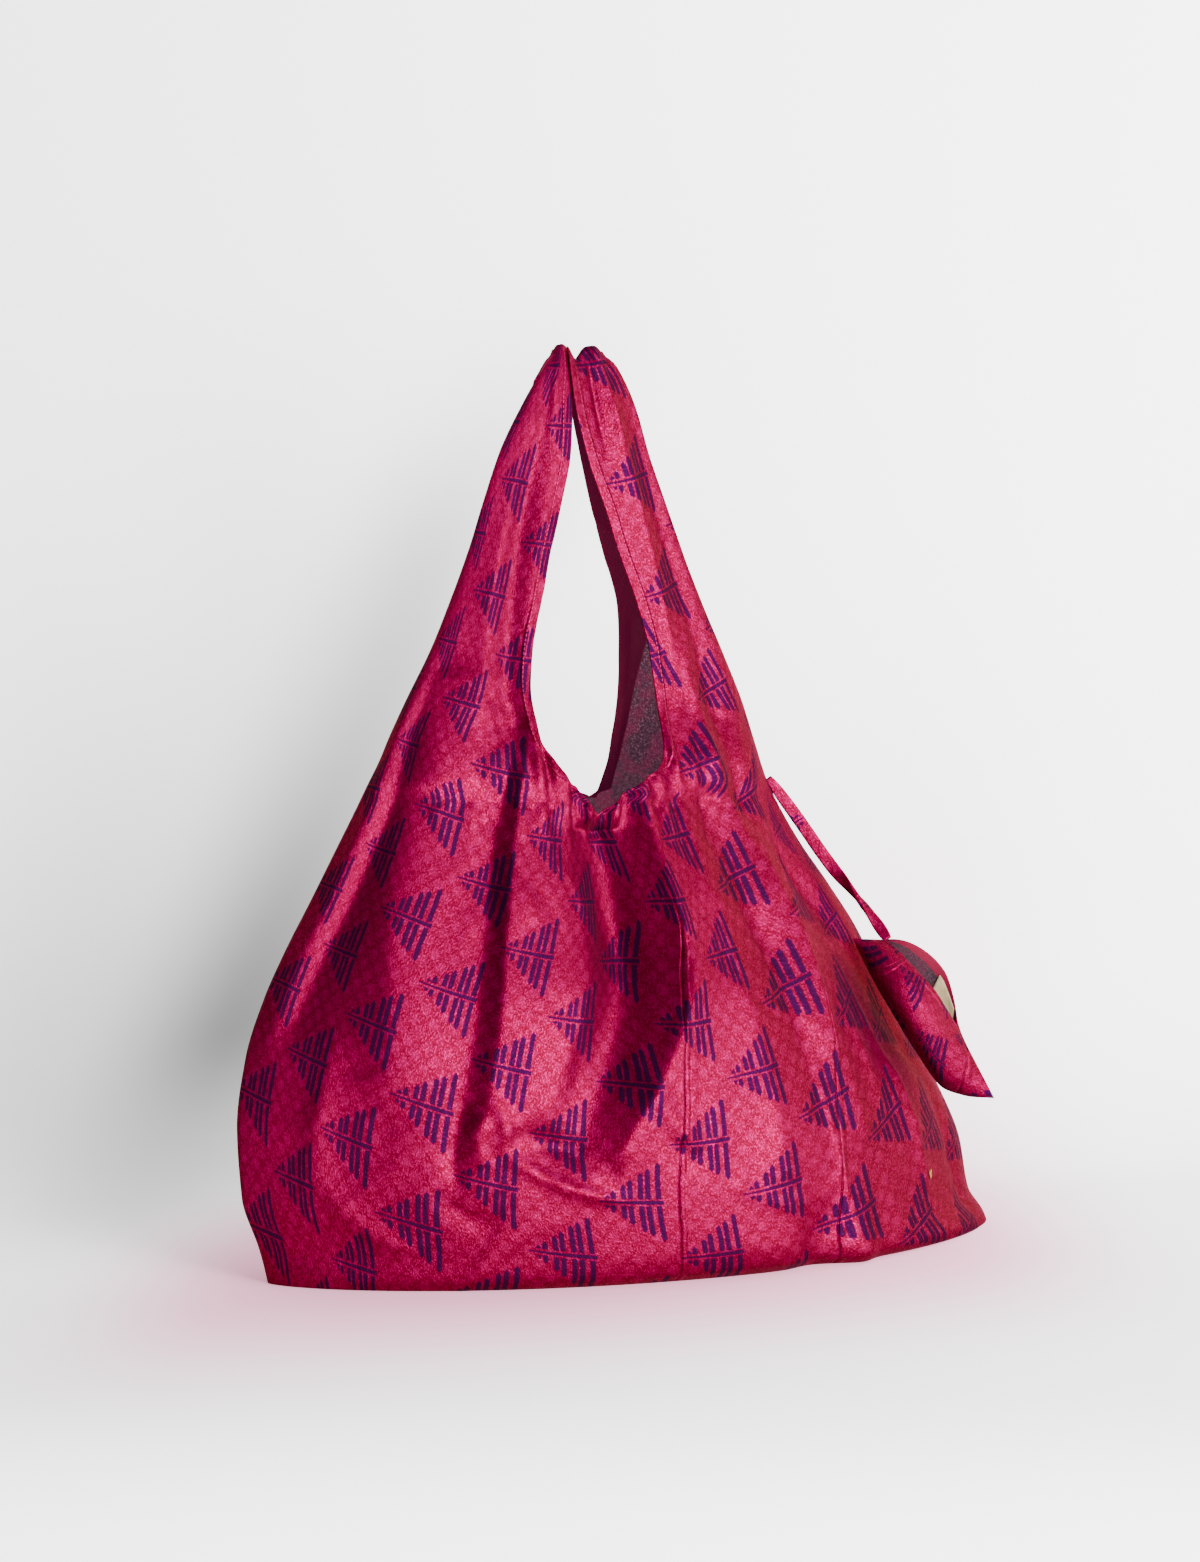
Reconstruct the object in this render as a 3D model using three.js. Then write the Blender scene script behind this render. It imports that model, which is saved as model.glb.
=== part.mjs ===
import * as THREE from 'three';

// Reusable shopping bag of thin sari cloth, standing open and puffed out.
// Millimetres, +Z up. The ears of the base lie along X, the front panel faces -Y,
// and the origin is under the middle of the whole bag, on the floor.

// Cloth
const CLOTH = 1.2;
const SEAM_GAP = 0.4;

// Step that puts the origin under the middle of the bag's box
const BAG_SHIFT = { x: 6.85, y: 1.25 };

// Grid of the panels: cells from a middle edge to a side seam
const PANEL_CELLS = 28;
const PROFILE_STEPS = 160;
const FOLD_FADE = 26;
const EAR_TIP = 3.8;
const SEAM_HOLD = 8;
const ROUNDING = 0.8;

// Number of the level at the bottom of the neckline, and of the rows that lie on the floor
const NECK_ROW = 10;
const FLOOR_ROWS = 2;

// Levels of the inner face, base to handle tops. left and right are the side seams, front
// and back the deepest points, seam is the depth of the side seams, and round is the power
// that shapes a quarter: 1 an ellipse, 2 a lens with a ridge at the seam.
// The four middle columns are the inner edges of the handles, or the middle line below
// the neckline, where left and right are the same.
const LEVEL_COLUMNS = ['z', 'left', 'frontL', 'frontR', 'backL', 'backR', 'right', 'front', 'seam', 'back', 'round'];
const LEVELS = [
  [0, -245.5, 10, 10, 10, 10, 247, -104, 0, 104, 1.4],
  [6, -247, 8, 8, 8, 8, 244, -112, 0, 112, 1.45],
  [20, -251, 2, 2, 2, 2, 235, -116, 0, 116, 1.65],
  [50, -261, -10, -10, -2, -2, 230, -117, 1, 117, 1.75],
  [88, -263, -20, -20, -5, -5, 213, -115, 3, 115, 1.75],
  [128, -257, -28, -28, -7, -7, 187, -105, 5, 109, 1.75],
  [161, -245, -35, -35, -8, -8, 170, -93, 7, 103, 1.75],
  [189, -231, -38, -38, -8, -8, 155, -78, 8, 93, 1.7],
  [217, -215, -41, -41, -8, -8, 135, -65, 9, 83, 1.7],
  [245, -199, -46, -46, -8, -8, 114, -50, 11, 73, 1.65],
  [272, -184, -52, -52, -8, -8, 97, -38, 12, 62, 1.6],
  [276.5, -181.7, -58, -42, -14, -1, 94.5, -36, 12, 60, 1.6],
  [283.5, -178, -69, -25, -20, 1, 91, -34, 12, 57.5, 1.55],
  [295.7, -171, -78.5, -6, -30, 2, 86.5, -29, 13, 53, 1.5],
  [309, -165, -85, -2, -40, 1, 82, -22, 13, 47, 1.5],
  [332, -153.5, -86, -1, -70, 0, 74, -12, 13, 38, 1.5],
  [361, -138, -82.5, -3, -80, -1.5, 60.5, -7, 13, 33, 1.4],
  [391, -124.5, -74, -9.5, -74, -5, 46.5, -3, 14, 29, 1.4],
  [420, -113, -66, -19, -66.5, -15, 33.5, 1, 14, 27, 1.4],
  [450, -102.5, -56.3, -28, -57, -25, 22, 5, 15, 25, 1.4],
  [481, -90.5, -48.5, -37, -49.5, -32.5, 10.5, 8, 16.5, 25, 1.4],
  [512, -73.5, -46, -41, -46, -37, 1, 11, 18, 25, 1.3],
  [534, -59.5, -43.5, -39.5, -43.5, -38, -10, 14.6, 19.5, 24.4, 1.2],
  [546.5, -53.5, -42.5, -37.5, -42.5, -37.5, -21, 19.6, 20, 20.4, 1.1],
];

// Folds of the panels: a trough (negative) or ridge (positive) that runs down the cloth
// through three points, with its own depth at each, and a half-width.
const FOLD_COLUMNS = ['side', 'zTop', 'xTop', 'dTop', 'zMid', 'xMid', 'dMid', 'zLow', 'xLow', 'dLow', 'width'];
const FOLDS = [
  ['front', 262, -52, -5, 190, -43, -27, 60, -66, -3, 15],
  ['front', 275, -34, 3, 190, -22, 5, 20, -38, 4, 9],
  ['front', 310, -90, 2, 200, -128, 4, 30, -160, 4, 11],
  ['front', 310, -104, -3, 200, -146, -7, 40, -178, -4, 12],
  ['front', 278, 12, 2, 190, 50, 5, 20, 74, 5, 14],
  ['front', 262, 40, -5, 180, 76, -7, 60, 100, -4, 18],
  ['front', 262, 82, 2, 200, 84, 5, 120, 124, 4, 12],
  ['front', 300, -160, -5, 217, -205, -8, 120, -236, -5, 14],
  ['front', 40, 58, -2, 18, 56, -6, 0, 56, -6, 16],
  ['front', 40, 84, 2, 18, 86, 4, 0, 88, 6, 12],
  ['front', 500, -62, -2, 400, -104, -5, 320, -126, -3, 9],
  ['front', 500, -16, -2, 400, 14, -5, 320, 30, -3, 9],
  ['back', 262, -6, -4, 180, -14, -18, 60, -30, -3, 16],
  ['back', 300, -110, -3, 200, -150, -9, 60, -176, -4, 14],
  ['back', 300, 48, -3, 200, 78, -9, 60, 108, -4, 14],
  ['back', 240, -84, 3, 150, -98, 5, 30, -104, 3, 14],
  ['back', 500, -64, -2, 400, -102, -5, 320, -126, -3, 9],
  ['back', 500, -14, -2, 400, 16, -5, 320, 34, -3, 9],
];

// Pouch: across and up run along its bottom seam and from there to its mouth,
// out runs through it from the near wall to the far wall.
const POUCH_CENTRE = new THREE.Vector3(168, -42, 140);
const VIEW_RIGHT = new THREE.Vector3(0.8846, -0.4664, 0);
const VIEW_AWAY = new THREE.Vector3(0.4664, 0.8846, 0);
const POUCH_TILT = THREE.MathUtils.degToRad(-48);
const POUCH_CELLS_ACROSS = 14;
const POUCH_CELLS_UP = 8;
const POUCH_BULGE = { near: 34, far: 12 };
const POUCH_MOUTH = 15;
const POUCH_LIP = 14;
const POUCH_BELLY = { power: 0.7, rise: 0.85, close: 0.96 };
const POUCH_COLUMNS = ['share', 'seamAcross', 'seamUp', 'rimAcross', 'rimUp'];
const POUCH = [
  [0, -60, 0, -45, 15],
  [0.18, -36, -7, -33, 16],
  [0.4, -7, -10, -18, 16],
  [0.6, 20, -14, -5, 16],
  [0.8, 44, -17, 9, 14],
  [0.9, 59, -11, 16, 13],
  [1, 73, -1, 23, 12],
];

// Blank label sewn inside the far wall of the pouch, as shares of that wall
const LABEL = { left: 0.58, right: 0.86, low: 0.6, high: 0.93, cells: 4, lift: -1.6, thick: 1 };

// Tie from the right side seam to the corner of the pouch's mouth
const TIE_WIDTH = 8;
const TIE_STEPS = 40;
const TIE_TWIST_AT = 0.84;
const TIE_TWIST_RUN = 0.36;
const TIE_END_GAP = 3.9;
const TIE_PINCH = 0.5;
const TIE_PINCH_RUN = { seam: 0.06, twist: 0.06, pouch: 0.04 };
const TIE = [
  [97.4, 12, 280], [113.8, 7, 255.3], [129.6, -2, 229.4], [139.4, -11, 213.7], [146.4, -21, 200],
];

const COLOURS = {
  front_panel: 0xc0204f,
  back_panel: 0xa81b48,
  pouch_front: 0xb81f4c,
  pouch_back: 0x9c1a42,
  pouch_tie: 0xb02050,
  pouch_label: 0xe8e0c8,
};

// Rows of a table as objects with named columns
function named(columns, rows) {
  return rows.map((row) => Object.fromEntries(columns.map((name, k) => [name, row[k]])));
}

// Straight-line interpolation of one column of a table
function lookup(rows, key, value, at) {
  let k = 1;
  while (k < rows.length - 1 && rows[k][key] < at) k += 1;
  const [a, b] = [rows[k - 1], rows[k]];
  const share = THREE.MathUtils.clamp((at - a[key]) / (b[key] - a[key]), 0, 1);
  return THREE.MathUtils.lerp(a[value], b[value], share);
}

// Thin solid from the points of its inner face, its cells and the steps to the outer face.
// Cells are wound anticlockwise seen from outside; open edges are closed by walls.
function sheetSolid(inner, cells, steps) {
  const outer = inner.map((p, k) => p.clone().add(steps[k]));
  const points = [...outer, ...inner];
  const half = outer.length;
  const triangles = [];
  const edges = new Map();
  for (const cell of cells) {
    const ring = cell.filter((v, k) => v !== cell[(k + 1) % cell.length]);
    ring.forEach((v, k) => {
      const next = ring[(k + 1) % ring.length];
      if (!edges.delete(`${next} ${v}`)) edges.set(`${v} ${next}`, [v, next]);
    });
    const straight = ring.length < 4 || outer[ring[0]].distanceTo(outer[ring[2]])
      <= outer[ring[1]].distanceTo(outer[ring[3]]);
    const turned = straight ? ring : [...ring.slice(1), ring[0]];
    for (let k = 1; k < turned.length - 1; k += 1) {
      const [a, b, c] = [turned[0], turned[k], turned[k + 1]];
      triangles.push(a, b, c, a + half, c + half, b + half);
    }
  }
  for (const [a, b] of edges.values()) {
    triangles.push(b, a, a + half, b, a + half, b + half);
  }
  const geometry = new THREE.BufferGeometry();
  const flat = points.flatMap((p) => [p.x, p.y, p.z]);
  geometry.setAttribute('position', new THREE.Float32BufferAttribute(flat, 3));
  geometry.setIndex(triangles);
  geometry.computeVertexNormals();
  return geometry;
}

// Normal of the cloth at each point, averaged over the cells around it
function clothNormals(points, cells) {
  const normals = points.map(() => new THREE.Vector3());
  const across = new THREE.Vector3();
  const along = new THREE.Vector3();
  for (const cell of cells) {
    across.subVectors(points[cell[2]], points[cell[0]]);
    along.subVectors(points[cell[3]], points[cell[1]]);
    across.cross(along);
    new Set(cell).forEach((v) => normals[v].add(across));
  }
  return normals.map((n) => n.normalize());
}

const levels = named(LEVEL_COLUMNS, LEVELS);
const folds = named(FOLD_COLUMNS, FOLDS);

// Depth of the folds of one panel at a place, faded out past their ends
function foldDepth(side, x, z) {
  let depth = 0;
  for (const fold of folds.filter((f) => f.side === side)) {
    const upper = z > fold.zMid;
    const share = upper ? (z - fold.zMid) / (fold.zTop - fold.zMid) : (fold.zMid - z) / (fold.zMid - fold.zLow);
    const held = Math.min(share, 1);
    const past = Math.max(z - fold.zTop, fold.zLow - z, 0);
    const line = THREE.MathUtils.lerp(fold.xMid, upper ? fold.xTop : fold.xLow, held);
    const deep = THREE.MathUtils.lerp(fold.dMid, upper ? fold.dTop : fold.dLow, held);
    const away = (x - line) / fold.width;
    depth += deep * Math.exp(-away * away) * Math.max(0, 1 - past / FOLD_FADE);
  }
  return depth;
}

// Points of one quarter of a level, from the middle or inner edge to the side seam, set
// at even steps along the cloth and then moved in or out by the folds.
function quarter(side, level, inner, seam) {
  const sign = side === 'front' ? -1 : 1;
  const depth = level[side] - level.seam;
  const ellipse = ROUNDING * (2 - level.round);
  const fine = [];
  let run = 0;
  for (let k = 0; k <= PROFILE_STEPS; k += 1) {
    const q = k / PROFILE_STEPS;
    const out = q + ellipse * (Math.sin((Math.PI * q) / 2) - q);
    const x = THREE.MathUtils.lerp(inner, seam, out);
    const y = level.seam + depth * Math.pow(Math.max(0, 1 - out * out), level.round / 2);
    if (k > 0) run += Math.hypot(x - fine[k - 1].x, y - fine[k - 1].y);
    fine.push({ run, x, y });
  }
  const points = [];
  for (let c = 0; c <= PANEL_CELLS; c += 1) {
    const at = (run * c) / PANEL_CELLS;
    const x = lookup(fine, 'run', 'x', at);
    const y = lookup(fine, 'run', 'y', at);
    const step = run / PANEL_CELLS;
    const dx = lookup(fine, 'run', 'x', at + step) - lookup(fine, 'run', 'x', at - step);
    const dy = lookup(fine, 'run', 'y', at + step) - lookup(fine, 'run', 'y', at - step);
    const long = Math.hypot(dx, dy);
    const still = 1 - Math.pow(c / PANEL_CELLS, SEAM_HOLD);
    const push = foldDepth(side, x, level.z) * still;
    const nx = (Math.sign(seam - inner) * Math.abs(dy)) / long;
    const ny = (sign * Math.abs(dx)) / long;
    points.push(new THREE.Vector3(x + push * nx, y + push * ny, level.z));
  }
  points[PANEL_CELLS].set(seam, level.seam + (sign * SEAM_GAP) / 2, level.z);
  return points;
}

// One panel: its half of the base, flat on the floor from the bottom seam out, its wall,
// and two handle halves above the neckline.
function panel(side) {
  const sign = side === 'front' ? -1 : 1;
  const points = [];
  const cells = [];
  const fixed = new Map();
  const rows = levels.map((level) => ['L', 'R'].map((half) => {
    const seam = half === 'L' ? level.left : level.right;
    return quarter(side, level, level[side + half], seam);
  }));
  const ground = rows[0];
  const lay = (share) => ground.map((half) => half.map((p) => {
    const edge = (sign * SEAM_GAP) / 2;
    return new THREE.Vector3(p.x, edge + (p.y - edge) * share, CLOTH);
  }));
  rows.splice(0, 1, lay(0), lay(0.5), lay(1));
  const ids = rows.map((row, r) => row.map((half) => half.map((p, c) => {
    const merged = c === PANEL_CELLS && r > 0 && r <= FLOOR_ROWS;
    if (merged) return null;
    points.push(p);
    return points.length - 1;
  })));
  for (const h of [0, 1]) {
    ids[1][h][PANEL_CELLS] = ids[0][h][PANEL_CELLS];
    ids[2][h][PANEL_CELLS] = ids[0][h][PANEL_CELLS];
    fixed.set(ids[0][h][PANEL_CELLS], new THREE.Vector3(h === 0 ? -EAR_TIP : EAR_TIP, 0, -CLOTH));
  }
  const lastShared = NECK_ROW + FLOOR_ROWS;
  for (let r = 0; r <= lastShared; r += 1) ids[r][1][0] = ids[r][0][0];
  for (let r = 0; r < ids.length - 1; r += 1) {
    for (const h of [0, 1]) {
      for (let c = 0; c < PANEL_CELLS; c += 1) {
        const cell = [ids[r][h][c], ids[r][h][c + 1], ids[r + 1][h][c + 1], ids[r + 1][h][c]];
        const rightWay = (h === 1) === (side === 'front');
        cells.push(rightWay ? cell : cell.reverse());
      }
    }
  }
  const onSeam = new Set(ids.flatMap((row) => row.map((half) => half[PANEL_CELLS])));
  const resting = new Set([...ids[0].flat(), ...ids[1].flat()]);
  const turning = new Set(ids[FLOOR_ROWS].flat());
  const normals = clothNormals(points, cells);
  const steps = normals.map((n, k) => {
    if (fixed.has(k)) return fixed.get(k);
    if (resting.has(k)) return new THREE.Vector3(0, 0, -CLOTH);
    if (turning.has(k)) return new THREE.Vector3(n.x, n.y, 0).setLength(CLOTH).setZ(-CLOTH);
    if (!onSeam.has(k)) return n.clone().multiplyScalar(CLOTH);
    const level = new THREE.Vector3(n.x, 0, n.z).normalize();
    return level.multiplyScalar(CLOTH / Math.max(level.dot(n), 0.5));
  });
  return sheetSolid(points, cells, steps);
}

// Directions of the pouch
const pouchAcross = VIEW_RIGHT.clone().multiplyScalar(Math.cos(POUCH_TILT));
pouchAcross.z = Math.sin(POUCH_TILT);
const pouchUp = VIEW_RIGHT.clone().multiplyScalar(-Math.sin(POUCH_TILT));
pouchUp.z = Math.cos(POUCH_TILT);
const pouch = named(POUCH_COLUMNS, POUCH);

// Point of a pouch wall, share across and share up from the bottom seam to the rim.
// wall is -1 for the near wall and 1 for the far wall.
function pouchPoint(wall, share, up) {
  const belly = Math.pow(Math.sin(Math.PI * share), POUCH_BELLY.power);
  const seam = [lookup(pouch, 'share', 'seamAcross', share), lookup(pouch, 'share', 'seamUp', share)];
  const rim = [lookup(pouch, 'share', 'rimAcross', share), lookup(pouch, 'share', 'rimUp', share)];
  const lip = wall > 0 ? POUCH_LIP * belly * up * up : 0;
  const across = THREE.MathUtils.lerp(seam[0], rim[0], up);
  const height = THREE.MathUtils.lerp(seam[1], rim[1], up) + lip;
  const swell = Math.sin(Math.PI * Math.pow(up, POUCH_BELLY.rise) * POUCH_BELLY.close);
  const bulge = (wall < 0 ? POUCH_BULGE.near : POUCH_BULGE.far) * belly * swell;
  const out = SEAM_GAP / 2 + bulge + POUCH_MOUTH * belly * up * up;
  return POUCH_CENTRE.clone()
    .addScaledVector(pouchAcross, across)
    .addScaledVector(pouchUp, height)
    .addScaledVector(VIEW_AWAY, wall * out);
}

// Patch of a pouch wall with its thickness on the outer side, lifted off it by a gap
function pouchPatch(wall, range, across, up, lift, thick) {
  const points = [];
  const cells = [];
  const id = (a, b) => a * (up + 1) + b;
  for (let a = 0; a <= across; a += 1) {
    for (let b = 0; b <= up; b += 1) {
      const share = THREE.MathUtils.lerp(range.left, range.right, a / across);
      points.push(pouchPoint(wall, share, THREE.MathUtils.lerp(range.low, range.high, b / up)));
    }
  }
  for (let a = 0; a < across; a += 1) {
    for (let b = 0; b < up; b += 1) {
      const cell = [id(a, b), id(a + 1, b), id(a + 1, b + 1), id(a, b + 1)];
      cells.push(wall < 0 ? cell : cell.reverse());
    }
  }
  const normals = clothNormals(points, cells);
  const inside = points.map((p, k) => p.clone().addScaledVector(normals[k], lift));
  return sheetSolid(inside, cells, normals.map((n) => n.clone().multiplyScalar(thick)));
}

// Flat strip along the tie's route, turned half round where it twists
function tie() {
  const corner = pouchPoint(-1, 0, 1).addScaledVector(pouchUp, TIE_END_GAP);
  const route = new THREE.CatmullRomCurve3([...TIE.map((p) => new THREE.Vector3(...p)), corner]);
  const points = [];
  const triangles = [];
  for (let k = 0; k <= TIE_STEPS; k += 1) {
    const t = k / TIE_STEPS;
    const centre = route.getPointAt(t);
    const along = route.getTangentAt(t);
    const turn = Math.PI * THREE.MathUtils.smoothstep(t, TIE_TWIST_AT - TIE_TWIST_RUN, 1);
    const wide = new THREE.Vector3().crossVectors(VIEW_AWAY, along).normalize().applyAxisAngle(along, turn);
    const thin = new THREE.Vector3().crossVectors(along, wide);
    const atTwist = (t - TIE_TWIST_AT) / TIE_PINCH_RUN.twist;
    const ends = Math.exp(-t / TIE_PINCH_RUN.seam) + Math.exp((t - 1) / TIE_PINCH_RUN.pouch);
    const pinch = 1 - TIE_PINCH * Math.min(ends + Math.exp(-atTwist * atTwist), 1);
    for (const [w, h] of [[-1, -1], [1, -1], [1, 1], [-1, 1]]) {
      points.push(centre.clone()
        .addScaledVector(wide, (w * TIE_WIDTH * pinch) / 2)
        .addScaledVector(thin, (h * CLOTH) / 2));
    }
  }
  for (let k = 0; k < TIE_STEPS; k += 1) {
    for (let s = 0; s < 4; s += 1) {
      const [a, b] = [4 * k + s, 4 * k + ((s + 1) % 4)];
      triangles.push(a, b, b + 4, a, b + 4, a + 4);
    }
  }
  const end = 4 * TIE_STEPS;
  triangles.push(0, 2, 1, 0, 3, 2, end, end + 1, end + 2, end, end + 2, end + 3);
  const geometry = new THREE.BufferGeometry();
  geometry.setAttribute('position', new THREE.Float32BufferAttribute(points.flatMap((p) => [p.x, p.y, p.z]), 3));
  geometry.setIndex(triangles);
  geometry.computeVertexNormals();
  return geometry;
}

// The bag
const bag = new THREE.Group();

function addPiece(name, geometry) {
  const material = new THREE.MeshStandardMaterial({ color: COLOURS[name], roughness: 0.45, metalness: 0 });
  const mesh = new THREE.Mesh(geometry, material);
  mesh.name = name;
  bag.add(mesh);
}

const WHOLE_WALL = { left: 0, right: 1, low: 0, high: 1 };
addPiece('front_panel', panel('front'));
addPiece('back_panel', panel('back'));
addPiece('pouch_front', pouchPatch(-1, WHOLE_WALL, POUCH_CELLS_ACROSS, POUCH_CELLS_UP, 0, CLOTH));
addPiece('pouch_back', pouchPatch(1, WHOLE_WALL, POUCH_CELLS_ACROSS, POUCH_CELLS_UP, 0, CLOTH));
addPiece('pouch_label', pouchPatch(1, LABEL, LABEL.cells, LABEL.cells, LABEL.lift, LABEL.thick));
addPiece('pouch_tie', tie());

// Stand the bag with its origin under the middle of its box
bag.position.set(BAG_SHIFT.x, BAG_SHIFT.y, 0);

export default bag;
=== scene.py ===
"""Reusable shopping bag of printed sari cloth, with its small pouch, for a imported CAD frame."""

import math

import bmesh
import bpy
import numpy as np
from bpy.props import FloatProperty, FloatVectorProperty, IntProperty, PointerProperty
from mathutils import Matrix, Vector


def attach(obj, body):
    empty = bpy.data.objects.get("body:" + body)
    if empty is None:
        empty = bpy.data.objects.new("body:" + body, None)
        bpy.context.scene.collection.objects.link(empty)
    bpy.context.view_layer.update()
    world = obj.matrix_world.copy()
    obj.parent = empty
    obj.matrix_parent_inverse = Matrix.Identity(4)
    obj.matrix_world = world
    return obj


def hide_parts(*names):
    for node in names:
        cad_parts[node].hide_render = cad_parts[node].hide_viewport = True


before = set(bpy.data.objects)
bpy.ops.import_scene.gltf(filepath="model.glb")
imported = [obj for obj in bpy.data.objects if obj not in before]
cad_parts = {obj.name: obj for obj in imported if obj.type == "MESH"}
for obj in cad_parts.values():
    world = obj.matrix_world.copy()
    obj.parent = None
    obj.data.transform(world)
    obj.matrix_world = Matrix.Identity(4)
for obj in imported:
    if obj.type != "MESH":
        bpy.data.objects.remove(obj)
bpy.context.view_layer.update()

bl_info = {
    "name": "Sari cloth shopping bag",
    "version": (1, 0, 0),
    "blender": (4, 5, 0),
    "location": "3D View > Sidebar > Shopping bag",
    "description": "Builds a foldable shopping bag of printed cloth and its pouch",
    "category": "Add Mesh",
}

# Ways of one metre: to the camera's right, away from it, and up
SIDEWAYS = np.array([0.8846, -0.4664, 0.0])
AWAY = np.array([0.4664, 0.8846, 0.0])
UPRIGHT = np.array([0.0, 0.0, 1.0])

# Lengths are in millimetres from the middle of the bag, where nothing else is said. BAG_SHIFT
# puts that middle where the solids have it, and CLEARANCE keeps the cloth over them.
MM = 0.001
BAG_SHIFT = np.array([6.85, 1.25, 0.0])
SEAM_HALF_GAP = 0.3
NECK_Z = 272.0
TOP_Z = 546.5
CLEARANCE = 1.1
FAR_FROM_HEM = 60
WELD_GAP = 0.03

# Cells of a panel: points on a finely drawn level, share of its rows that lies below the
# neckline, and rows of the base
FINE_STEPS = 260
ROWS_BELOW_NECK = 0.52
BASE_ROWS = 14

# Levels of the cloth, base to handle tops: side seams, inner edges of the handles or middle
# line, deepest points, and roundness
LEVEL_COLUMNS = "z left frontL frontR backL backR right front seam back round".split()
LEVELS = (
    (0, -245.5, 10, 10, 10, 10, 247, -104, 0, 104, 1.4),
    (6, -247, 8, 8, 8, 8, 244, -112, 0, 112, 1.45),
    (20, -251, 2, 2, 2, 2, 235, -116, 0, 116, 1.65),
    (50, -261, -10, -10, -2, -2, 230, -117, 1, 117, 1.75),
    (88, -263, -20, -20, -5, -5, 213, -115, 3, 115, 1.75),
    (128, -257, -28, -28, -7, -7, 187, -105, 5, 109, 1.75),
    (161, -245, -35, -35, -8, -8, 170, -93, 7, 103, 1.75),
    (189, -231, -38, -38, -8, -8, 155, -78, 8, 93, 1.7),
    (217, -215, -41, -41, -8, -8, 135, -65, 9, 83, 1.7),
    (245, -199, -46, -46, -8, -8, 114, -50, 11, 73, 1.65),
    (272, -184, -52, -52, -8, -8, 97, -38, 12, 62, 1.6),
    (276.5, -181.7, -58, -42, -16, -1, 94.5, -36, 12, 60, 1.6),
    (283.5, -178, -69, -25, -25, 1, 91, -34, 12, 57.5, 1.55),
    (295.7, -171, -78.5, -6, -40, 2, 86.5, -29, 13, 53, 1.5),
    (309, -165, -85, -2, -54, 1, 82, -22, 13, 47, 1.5),
    (332, -153.5, -86, -1, -70, 0, 74, -12, 13, 38, 1.5),
    (361, -138, -82.5, -3, -80, -1.5, 60.5, -7, 13, 33, 1.4),
    (391, -124.5, -74, -9.5, -74, -5, 46.5, -3, 14, 29, 1.4),
    (420, -113, -66, -19, -66.5, -15, 33.5, 1, 14, 27, 1.4),
    (450, -102.5, -56.3, -28, -57, -25, 22, 5, 15, 25, 1.4),
    (481, -90.5, -48.5, -39, -49.5, -32.5, 10.5, 8, 16.5, 25, 1.4),
    (512, -73.5, -46, -46, -46, -39, 1, 11, 18, 25, 1.3),
    (534, -59.5, -43.5, -47, -43.5, -41, -10, 14.6, 19.5, 24.4, 1.2),
    (546.5, -53.5, -43.5, -46, -43.5, -42, -21, 19.6, 20, 20.4, 1.1),
)

# Folds: a trough (negative) or ridge that runs down the cloth through three points, with
# its own depth at each, a half-width on either side and the power of its profile
FOLD_COLUMNS = "zTop xTop dTop zMid xMid dMid zLow xLow dLow wideL wideR power".split()
FOLDS = {"front": (
    (258, -51, -19, 190, -52, -29, 80, -102, -8, 25, 17, 2.0),
    (276, -27, 6, 190, -22, 12, 76, -78, 4, 5, 22, 1.2),
    (250, -72, 1, 185, -80, 2.5, 102, -118, 2.5, 6, 15, 1.3),
    (320, -91, 4, 210, -122, 6, 92, -152, 4, 3.5, 24, 1.1),
    (316, -98, -4, 210, -132, -5, 80, -166, -3.5, 23, 5.5, 1.3),
    (345, -136, 5, 230, -176, 9, 118, -195, 5, 20, 30, 1.4),
    (278, 2, 3, 200, 10, 5, 60, 26, 3, 14, 14, 1.4),
    (270, 22, -3, 195, 45, -6, 90, 64, -3, 12, 11, 1.8),
    (300, 30, 2, 205, 68, 4, 80, 94, 3, 12, 9, 1.2),
    (266, 75, 2, 205, 74, 4.5, 128, 79, 3, 16, 5, 1.2),
    (268, 13, -1.5, 222, 26, -3.5, 182, 44, -1.5, 4, 7, 1.2),
    (262, 92, -4, 205, 104, -7, 120, 138, -4, 16, 18, 2.0),
    (40, 58, -2, 18, 56, -6, 0, 56, -6, 16, 16, 2.0),
    (40, 84, 2, 18, 86, 4, 0, 88, 6, 12, 12, 2.0),
    (514, -61, -2, 415, -88, -3, 336, -101, -3, 6, 6, 2.0),
    (500, -70, 2, 415, -98, 3, 330, -117, 3, 9, 5, 1.4),
    (500, -52, 1, 415, -76, 3, 330, -92, 3, 6, 8, 1.4),
    (510, -17, 3, 440, -1, 4, 370, 12, 3, 9, 5, 1.2),
    (505, 0, -3, 430, 18, -5, 320, 50, -4, 8, 10, 1.8),
    (360, 20, 2, 320, 28, 4, 280, 34, 3, 7, 7, 1.3),
    (350, 34, -2, 310, 46, -4, 262, 58, -3, 8, 8, 1.8),
    (546, -51, 2, 520, -56, 2.5, 490, -62, 1, 2.5, 3, 1.4),
    (546, -33, -2.5, 515, -30, -3, 480, -24, -1, 3, 3, 1.6),
    (546, -27, 2, 515, -20, 2.5, 470, -12, 1, 3, 3, 1.4),
), "back": (
    (262, -6, -4, 180, -14, -18, 60, -30, -3, 12, 20, 2.0),
    (280, 12, 3, 180, 8, 5, 40, -8, 4, 14, 6, 1.3),
    (300, -110, -3, 200, -150, -9, 60, -176, -4, 14, 14, 2.0),
    (300, 48, -3, 200, 78, -9, 60, 108, -4, 14, 14, 2.0),
    (300, 66, 2, 200, 100, 5, 60, 132, 3, 7, 14, 1.3),
    (240, -84, 3, 150, -98, 5, 30, -104, 3, 14, 9, 1.4),
    (500, -64, -2, 400, -102, -5, 320, -126, -3, 9, 9, 2.0),
    (500, -14, -2, 400, 16, -5, 320, 34, -3, 9, 9, 2.0),
)}

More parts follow.
